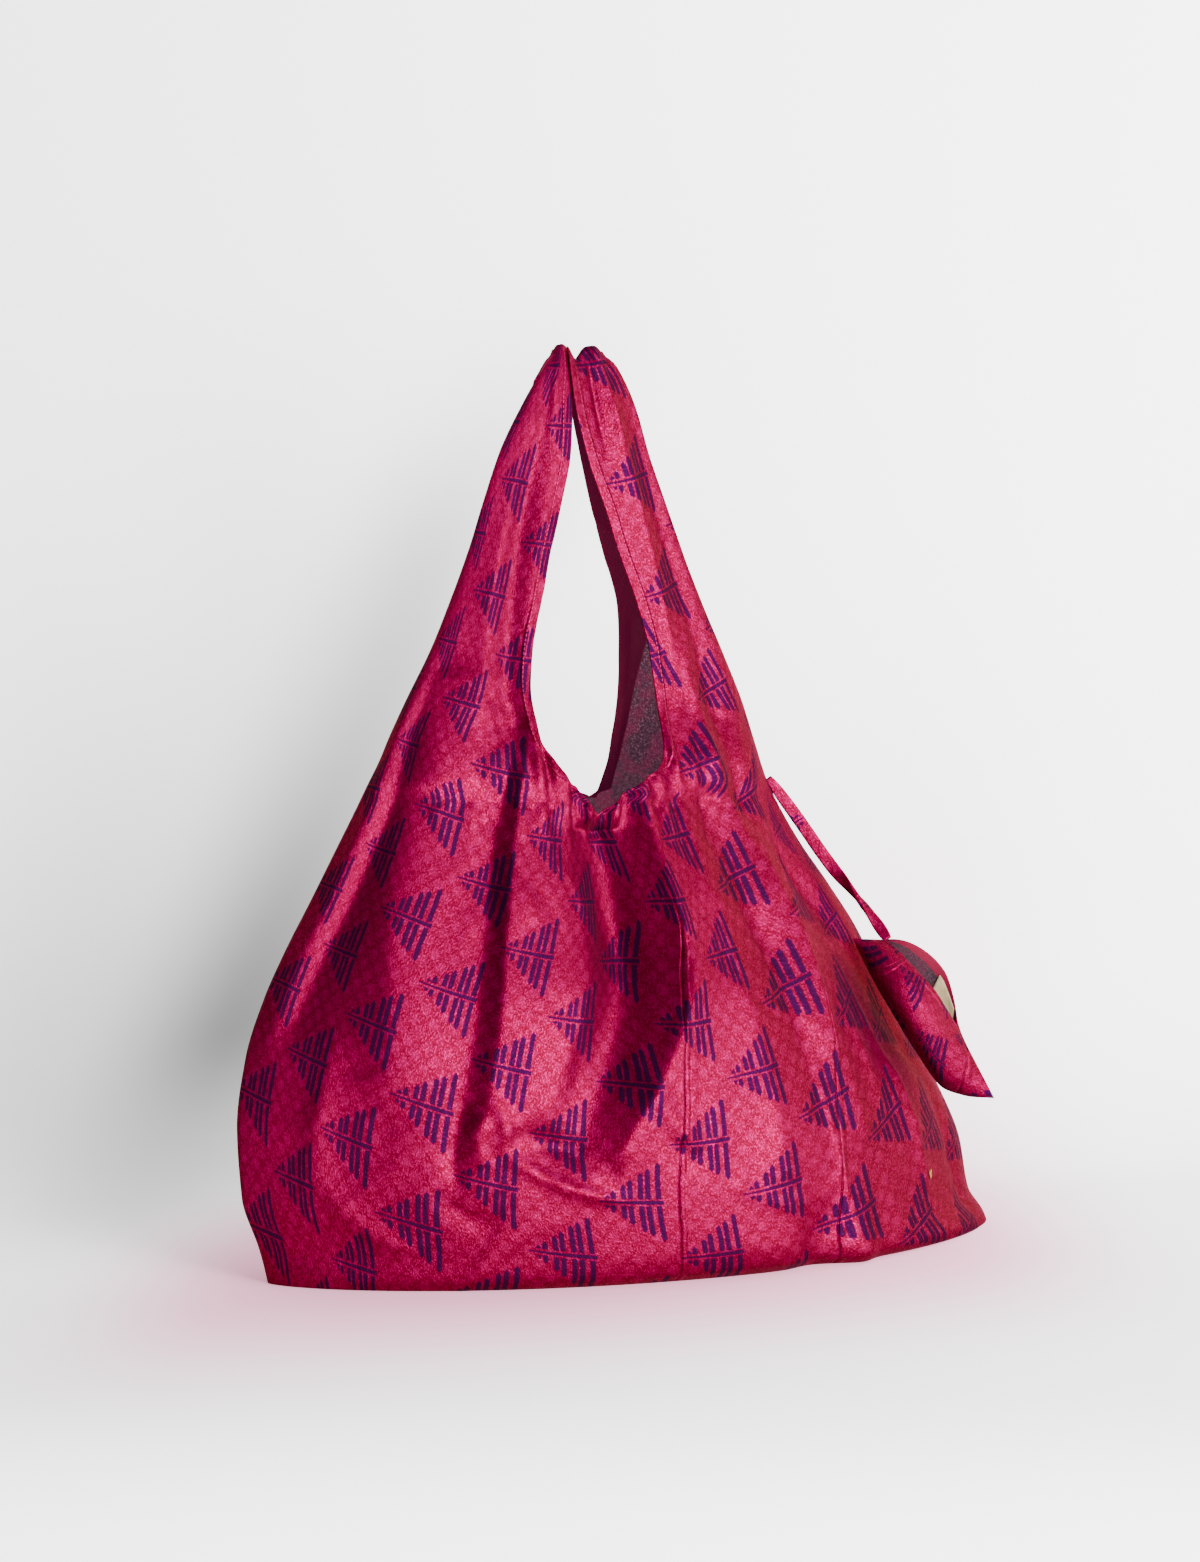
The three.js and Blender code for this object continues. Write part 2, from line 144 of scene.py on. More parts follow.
# How far past its ends a fold fades, and the rounding of its point and of a crease's
FOLD_FADE = 26.0
FOLD_ROUND = 1.0
CREASE_ROUND = 0.4

# Folds near the side seams, by share of the cloth from the middle (0) to the seam (1)
SIDE_FOLD_COLUMNS = "zTop sTop dTop zMid sMid dMid zLow sLow dLow wideL wideR power".split()
SIDE_FOLDS = {"frontL": (
    (350, 0.84, -4, 250, 0.86, -8, 150, 0.90, -5, 15, 7, 1.6),
    (330, 0.94, 3, 250, 0.94, 6, 140, 0.955, 4, 6, 6, 1.4),
    (130, 0.80, 2, 95, 0.82, 4, 55, 0.86, 2, 9, 7, 1.4),
), "frontR": (
    (250, 0.72, -2, 200, 0.80, -5, 110, 0.84, -3, 12, 12, 2.0),
    (170, 0.70, 2, 110, 0.66, 4, 40, 0.62, 3, 9, 6, 1.3),
    (90, 0.86, -2, 50, 0.84, -5, 15, 0.84, -3, 11, 9, 1.8),
    (546, 0.0, 2.6, 505, 0.0, 3.0, 470, 0.02, 1, 5, 8, 1.6),
), "backL": (
    (330, 0.72, 3, 240, 0.82, 6, 120, 0.88, 4, 6, 12, 1.3),
    (330, 0.86, -3, 230, 0.92, -8, 120, 0.95, -4, 9, 9, 2.0),
), "backR": (
    (320, 0.74, 3, 230, 0.80, 6, 120, 0.84, 4, 12, 6, 1.3),
    (250, 0.88, -3, 180, 0.90, -7, 90, 0.92, -4, 9, 9, 2.0),
)}

# Single creases: a line from its start over a middle point to its end, by x and height
CREASE_COLUMNS = "x0 z0 x1 z1 x2 z2 high wide".split()
CREASES = {"front": (
    (-140, 79, -112, 61, -72, 50, 4.2, 3.4),
    (-136, 92, -106, 78, -76, 66, -4.5, 8),
    (-152, 100, -154, 86, -150, 70, 3.5, 3),
    (-144, 110, -139, 96, -141, 78, 3.5, 3),
    (-158, 112, -164, 86, -163, 54, -3.5, 5),
    (-30, 140, -36, 80, -40, 8, 1.6, 2.4),
    (-44, 84, -38, 74, -36, 62, -2.4, 4),
    (62, 126, 71, 66, 84, 4, 2.0, 2.4),
    (-176, 60, -160, 44, -140, 36, -2.5, 6),
    (-60, 130, -48, 96, -26, 76, 3, 6),
    (-12, 60, 16, 44, 44, 40, 1.6, 5),
    (96, 150, 110, 118, 114, 84, 2.4, 5),
    (128, 96, 150, 74, 176, 66, 1.8, 5),
    (-230, 70, -212, 40, -180, 22, 2.6, 6),
    (-84, 236, -74, 214, -70, 190, 2.0, 4),
    (-112, 250, -108, 228, -110, 204, 1.6, 4),
    (18, 250, 22, 228, 34, 200, 1.8, 4),
    (54, 262, 62, 236, 62, 212, 1.8, 4),
    (-104, 306, -112, 288, -126, 262, 1.8, 4),
), "back": (
    (-60, 90, -20, 70, 30, 66, 4, 6),
    (60, 120, 84, 96, 96, 60, 3, 5),
    (-150, 100, -130, 76, -96, 60, 3, 5),
)}

# Pressed joins on the flat cloth: start across and lean per millimetre up, and where they end
PRESSED = ((18.0, 0.115), (118.0, 0.235))
PRESSED_TOP = (300.0, 250.0)

# Small random creases: how many, the spread of their places and sizes, and how far they lean in
# degrees and bow by share of their length. They reach out less higher up, and fan out sideways.
SMALL_CREASES = {"count": 90, "rise": (15, 480), "reach": 240, "narrowing": 0.36, "aside": -20,
                 "length": (22, 80), "width": (2.6, 6.5), "height": (0.35, 1.25), "lean": 24, "fan": (30, 420),
                 "bow": 0.12, "seed": 11}

# Gathers of the neckline: wave length, height and how far each dies out
PUCKERS = {"fine": (8.5, 2.2, 13), "slow": (15.0, 4.0, 22), "middle": NECK_Z + 6, "spread": 34}

# Sunk places, as (depth, middle, half-width): along the handle tops, with the height where they
# start and how far they take to grow, and across the neckline
TOP_BELLS = ((9, -39.5, 5), (5, -55, 3), (4, -19, 4.5))
TOP_BELLS_RISE = (500, 46)
NECK_SAG = (8, -51, 15)
NECK_SAG_HIGH = 16

# Where the printed columns lie: distance across the flat cloth at quarter steps of each
# half, from the middle or inner edge (L0, R0) to the side seam (L4, R4)
PRINT_COLUMNS = "z L0 L1 L2 L3 L4 R0 R1 R2 R3 R4".split()
PRINT = (
    (0, 74, 0, -76, -158, -290, 74, 134, 179, 234, 298),
    (75, 60, -16, -98, -176, -290, 60, 126, 180, 239, 300),
    (145, 46, -42, -118, -193, -290, 46, 118, 166, 218, 300),
    (210, 12, -71, -138, -198, -290, 12, 115, 160, 206, 296),
    (250, 4, -86, -148, -202, -290, 4, 105, 152, 190, 292),
    (272, 0, -100, -152, -202, -288, 0, 96, 150, 188, 290),
    (283.5, -72, -122, -158, -202, -284, 66, 120, 155, 187, 286),
    (295.7, -96, -129, -162, -204, -280, 113, 143, 166, 190, 258),
    (309, -108, -136, -167, -206, -275, 128, 149, 169, 190, 240),
    (340, -120, -146, -178, -212, -266, 138, 157, 177, 198, 225),
    (400, -124, -147, -173, -200, -250, 159, 175, 192, 208, 226),
    (470, -124, -143, -164, -187, -230, 157, 170, 183, 197, 213),
    (546.5, -124, -143, -164, -187, -230, 159, 171, 182, 196, 213),
)

# Printed trees: (distance from the tip, half the height) of each bar
TREE_BARS = ((5.6, 4.2), (9.4, 6.6), (16.0, 10.6), (20.4, 13.6), (27.0, 17.8), (31.6, 20.2), (38.0, 23.6))
TREE_HALF = 20.5
COLUMN_STEP = 46.0
ROW_STEP = 68.0

# Stitches of the hems in metres, threads of the label's weave, and the painted glow of the turned hem
STITCH_STEP = 0.0027
YARNS = 9000.0
HEM_GLOW = (0.016, 0.0008, 0.006, 1)

# Pouch: its middle, its tilt, and its outline along its bottom seam and up to its mouth
POUCH_CENTRE = np.array([168.0, -42.0, 140.0])
POUCH_TILT = math.radians(-48)
POUCH_ACROSS = SIDEWAYS * math.cos(POUCH_TILT) + UPRIGHT * math.sin(POUCH_TILT)
POUCH_UP = SIDEWAYS * -math.sin(POUCH_TILT) + UPRIGHT * math.cos(POUCH_TILT)
POUCH_COLUMNS = "share seamAcross seamUp rimAcross rimUp".split()
POUCH = (
    (0, -60, 0, -45, 15),
    (0.18, -36, -7, -33, 16),
    (0.4, -8, -13, -18, 16),
    (0.6, 19, -18, -5, 16),
    (0.8, 44, -21, 9, 14),
    (0.9, 59, -14, 16, 13),
    (1, 73, -1, 23, 12),
)

# Depths of the pouch walls, as (near wall, far wall), their size on the flat cloth in metres,
# their points along the seam and up, and how much painted shade darkens them inside
POUCH_BULGE = (26, 12)
POUCH_PUFF = (5, 0)
POUCH_LIP = (0, 14)
POUCH_FLARE = 15
POUCH_FLAT = (0.135, 0.09)
POUCH_POINTS = (81, 49)
POUCH_SHADE = 0.55

# Label: its reach along the far wall's seam and up it, as (from, to, points), and how far it
# stands in from that wall
LABEL_ALONG = (0.58, 0.86, 17)
LABEL_UP = (0.6, 0.93, 13)
LABEL_SET_IN = 2.0

# Tie from the side seam to the pouch's corner: its way, the corner's lift, half its width, the
# share of its length where it starts to turn over, its cells, and its place on the flat cloth
TIE = ((92.6, 12, 284), (113.8, 7, 255.3), (129.6, -2, 229.4), (139.4, -11, 213.7), (146.4, -21, 200))
TIE_CORNER_LIFT = 0.8
TIE_HALF = 4
TIE_TURN_FROM = 0.48
TIE_STEPS = 121
TIE_AROUND = 24
TIE_LENGTH = 0.13
TIE_PRINT_U = 0.077

# Narrow spots of the tie by share of its length, as (depth, place, spread, power): where it is
# sewn in, where it turns over and at the pouch. Then half its thickness, and its bulk in the
# turn as (height, place, spread).
TIE_PINCHES = ((1, 0, 0.06, 1), (0.3, 0.84, 0.06, 2), (0.7, 1, 0.04, 1))
TIE_THIN = 0.75
TIE_BULK = (1.3, 0.75, 0.08)

# Knot of thread in metres: its place, the way it faces, half its thickness, its length, how far
# it stands off, its waves across, along and off the cloth as (height, how many), and its cells
THREAD_PLACE = np.array([0.1658, -0.057, 0.043])
THREAD_FACING = math.radians(-52)
THREAD_RADIUS = 0.00038
THREAD_LONG = 0.0046
THREAD_OFF = 0.0007
THREAD_WAVES = ((0.0016, 1.5), (0.0012, 3.0), (0.0005, 2.5))
THREAD_STEPS = 61
THREAD_AROUND = 8

# Camera and how steeply it looks down, and the paper sweep, in metres: its reach in front, to
# the sides and up, where it starts to rise behind the bag, its bend and its drop under the base
CAMERA_PLACE = (-0.83755, -1.53875, 0.32)
CAMERA_DROP = 61 / 2900
SWEEP_FRONT = -3.5
SWEEP_SIDE = 2.0
SWEEP_TOP = 1.8
SWEEP_START = 0.24
SWEEP_RADIUS = 0.14
PAPER_BELOW = 0.0003

# Soft lights: name and setting, place as steps to the camera's right, away from it and up in
# metres, height that it aims at, size and tint
LIGHTS = (
    ("key", (1.20, -2.0, 0.60), 0.22, (0.9, 1.5), (1.0, 0.98, 0.98)),
    ("overhead", (0.3, -0.2, 2.4), 0.0, (1.8, 1.8), (1, 1, 1)),
    ("fill", (2.0, -1.1, 0.35), 0.2, (1.0, 1.0), (1, 1, 1)),
)
WHITE_AIR = (0.80, 0.80, 0.81, 1)
PAPER_GLOW = (0.80, 0.80, 0.80, 1)
BLACK = (0, 0, 0, 1)

# Pink light round the base: one over its half sizes, across, front to back and up, in metres
BASE_SQUEEZE = (1 / 0.255, 1 / 0.125, 4.0)


def table(columns, rows):
    """Columns of a table by name, as float arrays."""
    return dict(zip(columns, np.array(rows, float).T))


def named(columns, rows):
    """Rows of a table, each with its values by name."""
    return [dict(zip(columns, row)) for row in rows]


def smooth(x, y, at):
    """Monotone cubic through points: Hermite pieces whose slope at each point is the weighted
    harmonic mean of the chords beside it, or zero where those chords change sign."""
    at = np.asarray(at, float)
    step = np.diff(x)
    chord = np.diff(y) / step
    slope = np.concatenate([chord[:1], np.zeros(len(x) - 2), chord[-1:]])
    same = chord[:-1] * chord[1:] > 0
    one, two = 2 * step[1:] + step[:-1], step[1:] + 2 * step[:-1]
    safe = np.where(same, chord[:-1], 1), np.where(same, chord[1:], 1)
    slope[1:-1] = np.where(same, (one + two) / (one / safe[0] + two / safe[1]), 0)
    k = np.clip(np.searchsorted(x, at, side="right") - 1, 0, len(x) - 2)
    t = np.clip((at - x[k]) / step[k], 0, 1)
    return ((1 + 2 * t) * (1 - t) ** 2 * y[k] + t * (1 - t) ** 2 * step[k] * slope[k]
            + t * t * (3 - 2 * t) * y[k + 1] + t * t * (t - 1) * step[k] * slope[k + 1])


LEVEL = table(LEVEL_COLUMNS, LEVELS)
PRINT_ROWS = table(PRINT_COLUMNS, PRINT)
POUCH_ROWS = table(POUCH_COLUMNS, POUCH)


def level(name, z):
    return smooth(LEVEL["z"], LEVEL[name], z)


def bell(off, spread):
    return np.exp(-(off / spread) ** 2)


def unit(vectors):
    return vectors / np.linalg.norm(vectors, axis=1)[:, None]


def chain(steps):
    """Length run up to each point from the lengths of the steps between them."""
    return np.concatenate([np.zeros((len(steps), 1)), np.cumsum(steps, axis=1)], axis=1)


def one_fold(fold, axis, at, run, z):
    """Depth along the fold's line times exp(-|away / width| ** power), with the point rounded
    off, and faded past the ends of the line. axis is x for folds placed in millimetres and s
    for folds placed by share of the cloth, which run turns into millimetres."""
    heights = np.array([fold["zLow"], fold["zMid"], fold["zTop"]], float)
    line, deep = (smooth(heights, np.array([fold[key + "Low"], fold[key + "Mid"], fold[key + "Top"]], float), z)
                  for key in (axis, "d"))
    past = np.maximum(np.maximum(z - fold["zTop"], fold["zLow"] - z), 0) / FOLD_FADE
    away = (at - line) * run
    away = np.sqrt(away ** 2 + FOLD_ROUND) / np.where(away < 0, fold["wideL"], fold["wideR"])
    return deep * np.exp(-away ** fold["power"]) * np.clip(1 - past, 0, 1) ** 2


def fold_depth(side, half, x, share, run, z):
    """Sum of the folds of one half of a panel, those across it and those near its seam."""
    return (sum(one_fold(fold, "x", x, 1.0, z) for fold in named(FOLD_COLUMNS, FOLDS[side]))
            + sum(one_fold(fold, "s", share, run, z) for fold in named(SIDE_FOLD_COLUMNS, SIDE_FOLDS[side + half])))


def crease_height(x, z, ends, high, wide):
    """One crease: a bell across its line, whose middle bends by a parabola, tapered to nothing at
    both ends. ends holds the start, middle and end as (x, z)."""
    start, middle, end = (np.array(p, float) for p in ends)
    way = end - start
    long = np.hypot(*way)
    way /= long
    t = ((x - start[0]) * way[0] + (z - start[1]) * way[1]) / long
    off = (z - start[1]) * way[0] - (x - start[0]) * way[1]
    bow = (middle[1] - start[1]) * way[0] - (middle[0] - start[0]) * way[1]
    arch = 4 * t * (1 - t)
    off = off - bow * arch
    across = np.exp(-(np.sqrt(off ** 2 + CREASE_ROUND) / wide) ** 1.5)
    return high * across * np.sqrt(np.clip(arch, 0, 1)) * (t > 0) * (t < 1)


def crease_depth(side, x, z):
    """Listed creases, and small ones that mostly run down the cloth, from seeded draws."""
    total = np.zeros_like(x)
    for crease in named(CREASE_COLUMNS, CREASES[side]):
        ends = [(crease[f"x{k}"], crease[f"z{k}"]) for k in range(3)]
        total += crease_height(x, z, ends, crease["high"], crease["wide"])
    small = SMALL_CREASES
    draw = np.random.default_rng(small["seed"] + (side == "back"))
    for _ in range(small["count"]):
        height = draw.uniform(*small["rise"])
        reach = small["reach"] - small["narrowing"] * height
        middle = draw.uniform(small["aside"] - reach, small["aside"] + reach)
        long = draw.uniform(*small["length"])
        lean = math.radians(draw.normal(0, small["lean"])) + (middle + small["fan"][0]) / small["fan"][1]
        step = np.array([math.sin(lean), -math.cos(lean)]) * long / 2
        bow = np.array([math.cos(lean), math.sin(lean)]) * draw.normal(0, small["bow"]) * long
        centre = np.array([middle, height])
        high = draw.uniform(*small["height"]) * draw.choice([-1, 1])
        total += crease_height(x, z, (centre - step, centre + bow, centre + step), high,
                               draw.uniform(*small["width"]))
    return total


def pucker_depth(side, x, z, share, run):
    """Gathers of the neckline: fine and slow waves along the hem that die out away from it, with
    the waves' own swing so that no two are alike."""
    back = side == "back"
    away = np.where(z < NECK_Z, NECK_Z - z + np.abs(share) * run * 0.35, share * run)
    (fine, fine_high, fine_far), (slow, slow_high, slow_far) = PUCKERS["fine"], PUCKERS["slow"]
    ripple = np.sin(2 * math.pi * x / fine + 1.7 * np.sin(x / 11) + back)
    swell = np.sin(2 * math.pi * x / slow + 0.8 + 1.3 * np.sin(x / 17 + back))
    waves = fine_high * ripple * np.exp(-away / fine_far) + slow_high * swell * np.exp(-away / slow_far)
    return waves * bell(z - PUCKERS["middle"], PUCKERS["spread"]) * np.clip(away / 3, 0.35, 1)


def print_height(x, z):
    """Height on the flat cloth of a point of a panel: a saddle in x and z."""
    a, b = (x + 30) / 100, z / 100
    return 52 + 105.3 * b - 1.3 * b * b - 0.6 * a - 10 * a * a - 2.8 * a * b - 3.6 * a * a * b


def top_drop(x, z):
    """How far the cloth sinks: at the handle tops, where they meet and at their round outer
    corners, as bells across that grow with the square of the height, and at the neckline."""
    bells = sum(deep * bell(x - middle, wide) for deep, middle, wide in TOP_BELLS)
    deep, middle, wide = NECK_SAG
    sag = deep * bell(x - middle, wide) * bell(z - NECK_Z, NECK_SAG_HIGH)
    low, rise = TOP_BELLS_RISE
    return bells * np.clip((z - low) / rise, 0, 1) ** 2 + sag


def half_panel(side, half, z, shares):
    """Half of a panel as a grid of level and share of the cloth from its middle to its seam.
    Across, a level is a quarter of a rounded ellipse, x = inner + (seam - inner) * out and
    y = seam + depth * (1 - out ** 2) ** (round / 2), evened out by length of cloth and then
    moved along its own normal by the folds."""
    sign = -1 if side == "front" else 1
    inner = level(side + half, z)[:, None]
    seam = level("left" if half == "L" else "right", z)[:, None]
    middle = level("seam", z)[:, None]
    depth = level(side, z)[:, None] - middle
    power = level("round", z)[:, None]
    q = np.linspace(0, 1, FINE_STEPS)[None]
    out = q + 0.8 * (2 - power) * (np.sin(math.pi * q / 2) - q)
    x = inner + (seam - inner) * out
    y = middle + depth * np.clip(1 - out * out, 0, 1) ** (power / 2)
    run = chain(np.hypot(np.diff(x), np.diff(y)))
    whole = run[:, -1:]
    run = run / whole
    x, y = (np.stack([np.interp(shares, r, v) for r, v in zip(run, values)]) for values in (x, y))
    dx, dy = np.gradient(x, axis=1), np.gradient(y, axis=1)
    long = np.maximum(np.hypot(dx, dy), 1e-6)
    share = shares[None]
    high = z[:, None] + 0 * x
    push = (fold_depth(side, half, x, share, whole, high) + crease_depth(side, x, high)
            + pucker_depth(side, x, high, share, whole) + CLEARANCE)
    push *= 1 - share ** 8
    x = x + push * np.sign(seam - inner) * np.abs(dy) / long
    y = y + push * sign * np.abs(dx) / long
    x[:, -1] = seam[:, 0]
    y[:, -1] = middle[:, 0] + sign * SEAM_HALF_GAP
    knots = np.stack([smooth(PRINT_ROWS["z"], PRINT_ROWS[f"{half}{k}"], z) for k in range(5)], axis=1)
    u = np.stack([smooth(np.linspace(0, 1, 5), k, shares) for k in knots])
    return np.stack([x, y, high - top_drop(x, high)], axis=2), u


def panel_surface(side, rows, columns):
    """One panel: its half of the base, its wall, and two handle halves above the neckline.
    Rows of both halves share their middle column up to the neckline. Gives the points, cells,
    places on the flat cloth and distances from the neckline's hem, in metres."""
    low = int(rows * ROWS_BELOW_NECK)
    z = np.concatenate([NECK_Z * np.linspace(0, 1, low, endpoint=False) ** 1.05,
                        NECK_Z + (TOP_Z - NECK_Z) * np.linspace(0, 1, rows - low + 1) ** 1.25])
    shares = np.linspace(0, 1, columns + 1)
    base = np.linspace(0, 1, BASE_ROWS + 1)[:-1]
    shared = BASE_ROWS + low + 1
    seam_y = -SEAM_HALF_GAP if side == "front" else SEAM_HALF_GAP
    grids, flats, edges = [], [], []
    for half in "LR":
        wall, u = half_panel(side, half, z, shares)
        ground = wall[0]
        under = ground[None] * (1, 0, 0) + (seam_y + (ground[:, 1] - seam_y) * base[:, None])[..., None] * (0, 1, 0)
        grid = np.concatenate([under, wall])
        v = print_height(wall[:, :, 0], wall[:, :, 2])
        v = np.concatenate([v[:1] - (1 - base[:, None]) * np.abs(ground[None, :, 1]), v])
        edge = chain(np.linalg.norm(np.diff(grid, axis=1), axis=2))
        edge[:shared - 1] += FAR_FROM_HEM
        grids.append(grid)
        flats.append(np.stack([np.concatenate([np.repeat(u[:1], BASE_ROWS, 0), u]), v], axis=2))
        edges.append(edge)
    left = np.arange(edges[0].size).reshape(edges[0].shape)
    right = left + left.size
    right[:shared, 0] = left[:shared, 0]
    cells = np.concatenate([quads_of(left[:, ::-1]), quads_of(right)])
    if side == "back":
        cells = cells[:, ::-1]
    points, flat = (np.concatenate([grid.reshape(-1, grid.shape[2]) for grid in pair]) for pair in (grids, flats))
    return (points + BAG_SHIFT) * MM, cells, flat * MM, np.concatenate(edges).ravel() * MM


def pouch_wall(near, share, up):
    """Point of a pouch wall: from the bottom seam to the rim, swollen by a belly that is widest
    in the middle, and open at the mouth. The near wall puffs out below its seam."""
    far = 1 - near
    seam_across, seam_up, rim_across, rim_up = (smooth(POUCH_ROWS["share"], POUCH_ROWS[key], share)
                                                for key in POUCH_COLUMNS[1:])
    belly = np.sin(math.pi * share) ** 0.7
    lip = POUCH_LIP[far] * belly * up * up
    puff = POUCH_PUFF[far] * belly * np.sin(math.pi * np.minimum(up * 1.6, 1))
    across = seam_across + (rim_across - seam_across) * up
    height = seam_up + (rim_up - seam_up) * up + lip - puff
    bulge = POUCH_BULGE[far] * belly * np.sin(math.pi * up ** 0.85 * 0.96)
    out = (-1 if near else 1) * (SEAM_HALF_GAP + bulge + POUCH_FLARE * belly * up * up)
    return (POUCH_CENTRE + across[..., None] * POUCH_ACROSS + height[..., None] * POUCH_UP
            + out[..., None] * AWAY)


def run_along(line):
    return chain(np.linalg.norm(np.diff(line, axis=0), axis=1)[None])[0]


def curve_through(points, count):
    """Even steps along the smooth curve through points, by a cubic in the chord length."""
    points = np.array(points, float)
    chord = run_along(points)
    line = np.stack([smooth(chord, values, np.linspace(0, chord[-1], 400)) for values in points.T], axis=1)
    run = run_along(line)
    return np.stack([np.interp(np.linspace(0, run[-1], count), run, values) for values in line.T], axis=1)


def tube_rings(line, facing, ring, wide, thin, turn=None):
    """Rings of points round a line. Each is the closed shape ring (two rows, -1 to 1), across the
    line by wide and towards facing by thin, turned about the line by turn."""
    along = unit(np.gradient(line, axis=0))
    one = unit(np.cross(facing, along))
    two = np.cross(along, one)
    if turn is not None:
        cos, sin = np.cos(turn)[:, None], np.sin(turn)[:, None]
        one, two = one * cos + two * sin, two * cos - one * sin
    return line[:, None] + sum(way[:, None] * (flat * size[:, None])[..., None]
                               for way, flat, size in ((one, ring[0], wide), (two, ring[1], thin)))


def quads_of(ids):
    """Cells of a grid of point numbers, anticlockwise where columns run right and rows up."""
    return np.stack([ids[:-1, :-1], ids[:-1, 1:], ids[1:, 1:], ids[1:, :-1]], axis=2).reshape(-1, 4)


def grid_ids(points):
    return np.arange(points.shape[0] * points.shape[1]).reshape(points.shape[:2])


def put_mesh(name, points, cells, uv, materials, values=None):
    """Mesh object from points in metres, cells and a place on the flat cloth for each point.
    It is smooth but for the ends of a tube."""
    mesh = bpy.data.meshes.new(name)
    mesh.from_pydata(points.reshape(-1, 3).tolist(), [], [cell.tolist() for cell in cells])
    for material in materials:
        mesh.materials.append(material)
    mesh.polygons.foreach_set("use_smooth", [len(cell) == 4 for cell in cells])
    corners = np.empty(len(mesh.loops), np.int32)
    mesh.loops.foreach_get("vertex_index", corners)
    layer = mesh.uv_layers.new(name="Cloth")
    layer.data.foreach_set("uv", uv.reshape(-1, 2)[corners].astype(np.float32).ravel())
    for key, value in (values or {}).items():
        mesh.attributes.new(key, "FLOAT", "POINT").data.foreach_set("value", value.astype(np.float32).ravel())
    obj = bpy.data.objects.new(name, mesh)
    bpy.context.scene.collection.objects.link(obj)
    return obj


def put_tube(name, rings, uv, materials, values=None):
    """Closed tube through rings of points, with a flat cell at each end."""
    ids = grid_ids(rings)
    sides = quads_of(np.concatenate([ids, ids[:, :1]], axis=1))
    return put_mesh(name, rings, [*sides, ids[0, ::-1], ids[-1]], uv, materials, values)


def weld(obj):
    """Merges points that lie on each other and drops the cells that this empties."""
    work = bmesh.new()
    work.from_mesh(obj.data)
    bmesh.ops.remove_doubles(work, verts=work.verts, dist=WELD_GAP * MM)
    bmesh.ops.dissolve_degenerate(work, edges=work.edges, dist=WELD_GAP * MM)
    work.to_mesh(obj.data)
    work.free()


def thicken(obj, thickness, inner_material):
    """Gives a cloth its thickness on the inner side, which takes the next material slot."""
    wall = obj.modifiers.new("Cloth thickness", "SOLIDIFY")
    wall.thickness = thickness
    wall.offset = -1
    wall.use_even_offset = False
    wall.material_offset = inner_material
    wall.material_offset_rim = 0


# Shader helpers

class Value:
    """Output of a node that can be reckoned with, so that a sum of nodes reads as a formula."""

    def __init__(self, nodes, socket):
        self.nodes = nodes
        self.socket = socket

    def __add__(self, other):
        return self.nodes.math("ADD", self, other)

    def __sub__(self, other):
        return self.nodes.math("SUBTRACT", self, other)

    def __rsub__(self, other):
        return self.nodes.math("SUBTRACT", other, self)

    def __mul__(self, other):
        return self.nodes.math("MULTIPLY", self, other)

    def __truediv__(self, other):
        return self.nodes.math("DIVIDE", self, other)

    def __abs__(self):
        return self.nodes.math("ABSOLUTE", self)

    def nearest(self):
        return self.nodes.math("ROUND", self)

    def odd(self):
        """1 on odd whole numbers and 0 on even ones."""
        return self.nodes.math("PINGPONG", self, 1.0)

    def ramp(self, low, high, to_low=0.0, to_high=1.0):
        """Smooth step from to_low, where the value is low, to to_high, where it is high."""
        return self.nodes.put("MapRange", (self, low, high, to_low, to_high), interpolation_type="SMOOTHSTEP")


class Nodes:
    """Short hand for the nodes of one tree."""

    def __init__(self, tree):
        self.tree = tree

    def add(self, kind, **settings):
        node = self.tree.nodes.new("ShaderNode" + kind)
        for key, value in settings.items():
            setattr(node, key, value)
        return node

    def feed(self, inputs, values):
        """Links or sets each input from values, in order or by name."""
        for key, value in (values.items() if isinstance(values, dict) else enumerate(values)):
            if isinstance(value, Value):
                self.tree.links.new(value.socket, inputs[key])
            else:
                inputs[key].default_value = value

    def put(self, kind, values=(), output=0, **settings):
        """Adds a node, feeds its inputs, and gives one output."""
        node = self.add(kind, **settings)
        self.feed(node.inputs, values)
        return Value(self, node.outputs[output])

    def math(self, operation, *values):
        return self.put("Math", values, operation=operation)

    def vector(self, operation, values, output=0):
        return self.put("VectorMath", values, output, operation=operation)

    def along(self, place, way):
        """Steps in metres from the middle of the bag along a way of one metre."""
        return self.vector("DOT_PRODUCT", (place, tuple(way)), "Value")

    def split(self, vector):
        node = self.add("SeparateXYZ")
        self.feed(node.inputs, (vector,))
        return [Value(self, socket) for socket in node.outputs]

    def blend(self, share, one, two):
        return self.put("Mix", {"Factor": share, 6: one, 7: two}, 2, data_type="RGBA")

    def noise(self, vector, scale, detail=2.0, rough=0.5):
        values = {"Vector": vector, "Scale": scale, "Detail": detail, "Roughness": rough}
        return self.put("TexNoise", values, "Fac")

    def bump(self, height, distance):
        return self.put("Bump", {"Strength": 1.0, "Distance": distance, "Height": height})

    def cloth_place(self):
        return self.put("UVMap", uv_map="Cloth")

    def object_place(self):
        return self.put("TexCoord", output="Object")

    def from_hem(self):
        return self.put("Attribute", output="Fac", attribute_name="edge")

    def seen(self):
        """1 for what the camera looks at straight, and 0 for light on its way to something else."""
        return self.put("LightPath", output="Is Camera Ray")

    def group(self, maker, **values):
        """Adds a shader group, which is made at its first use and named as its function is."""
        name = maker.__name__.replace("_", " ").capitalize()
        node = self.add("Group", node_tree=bpy.data.node_groups.get(name) or maker(name))
        self.feed(node.inputs, values)
        return {socket.name: Value(self, socket) for socket in node.outputs}


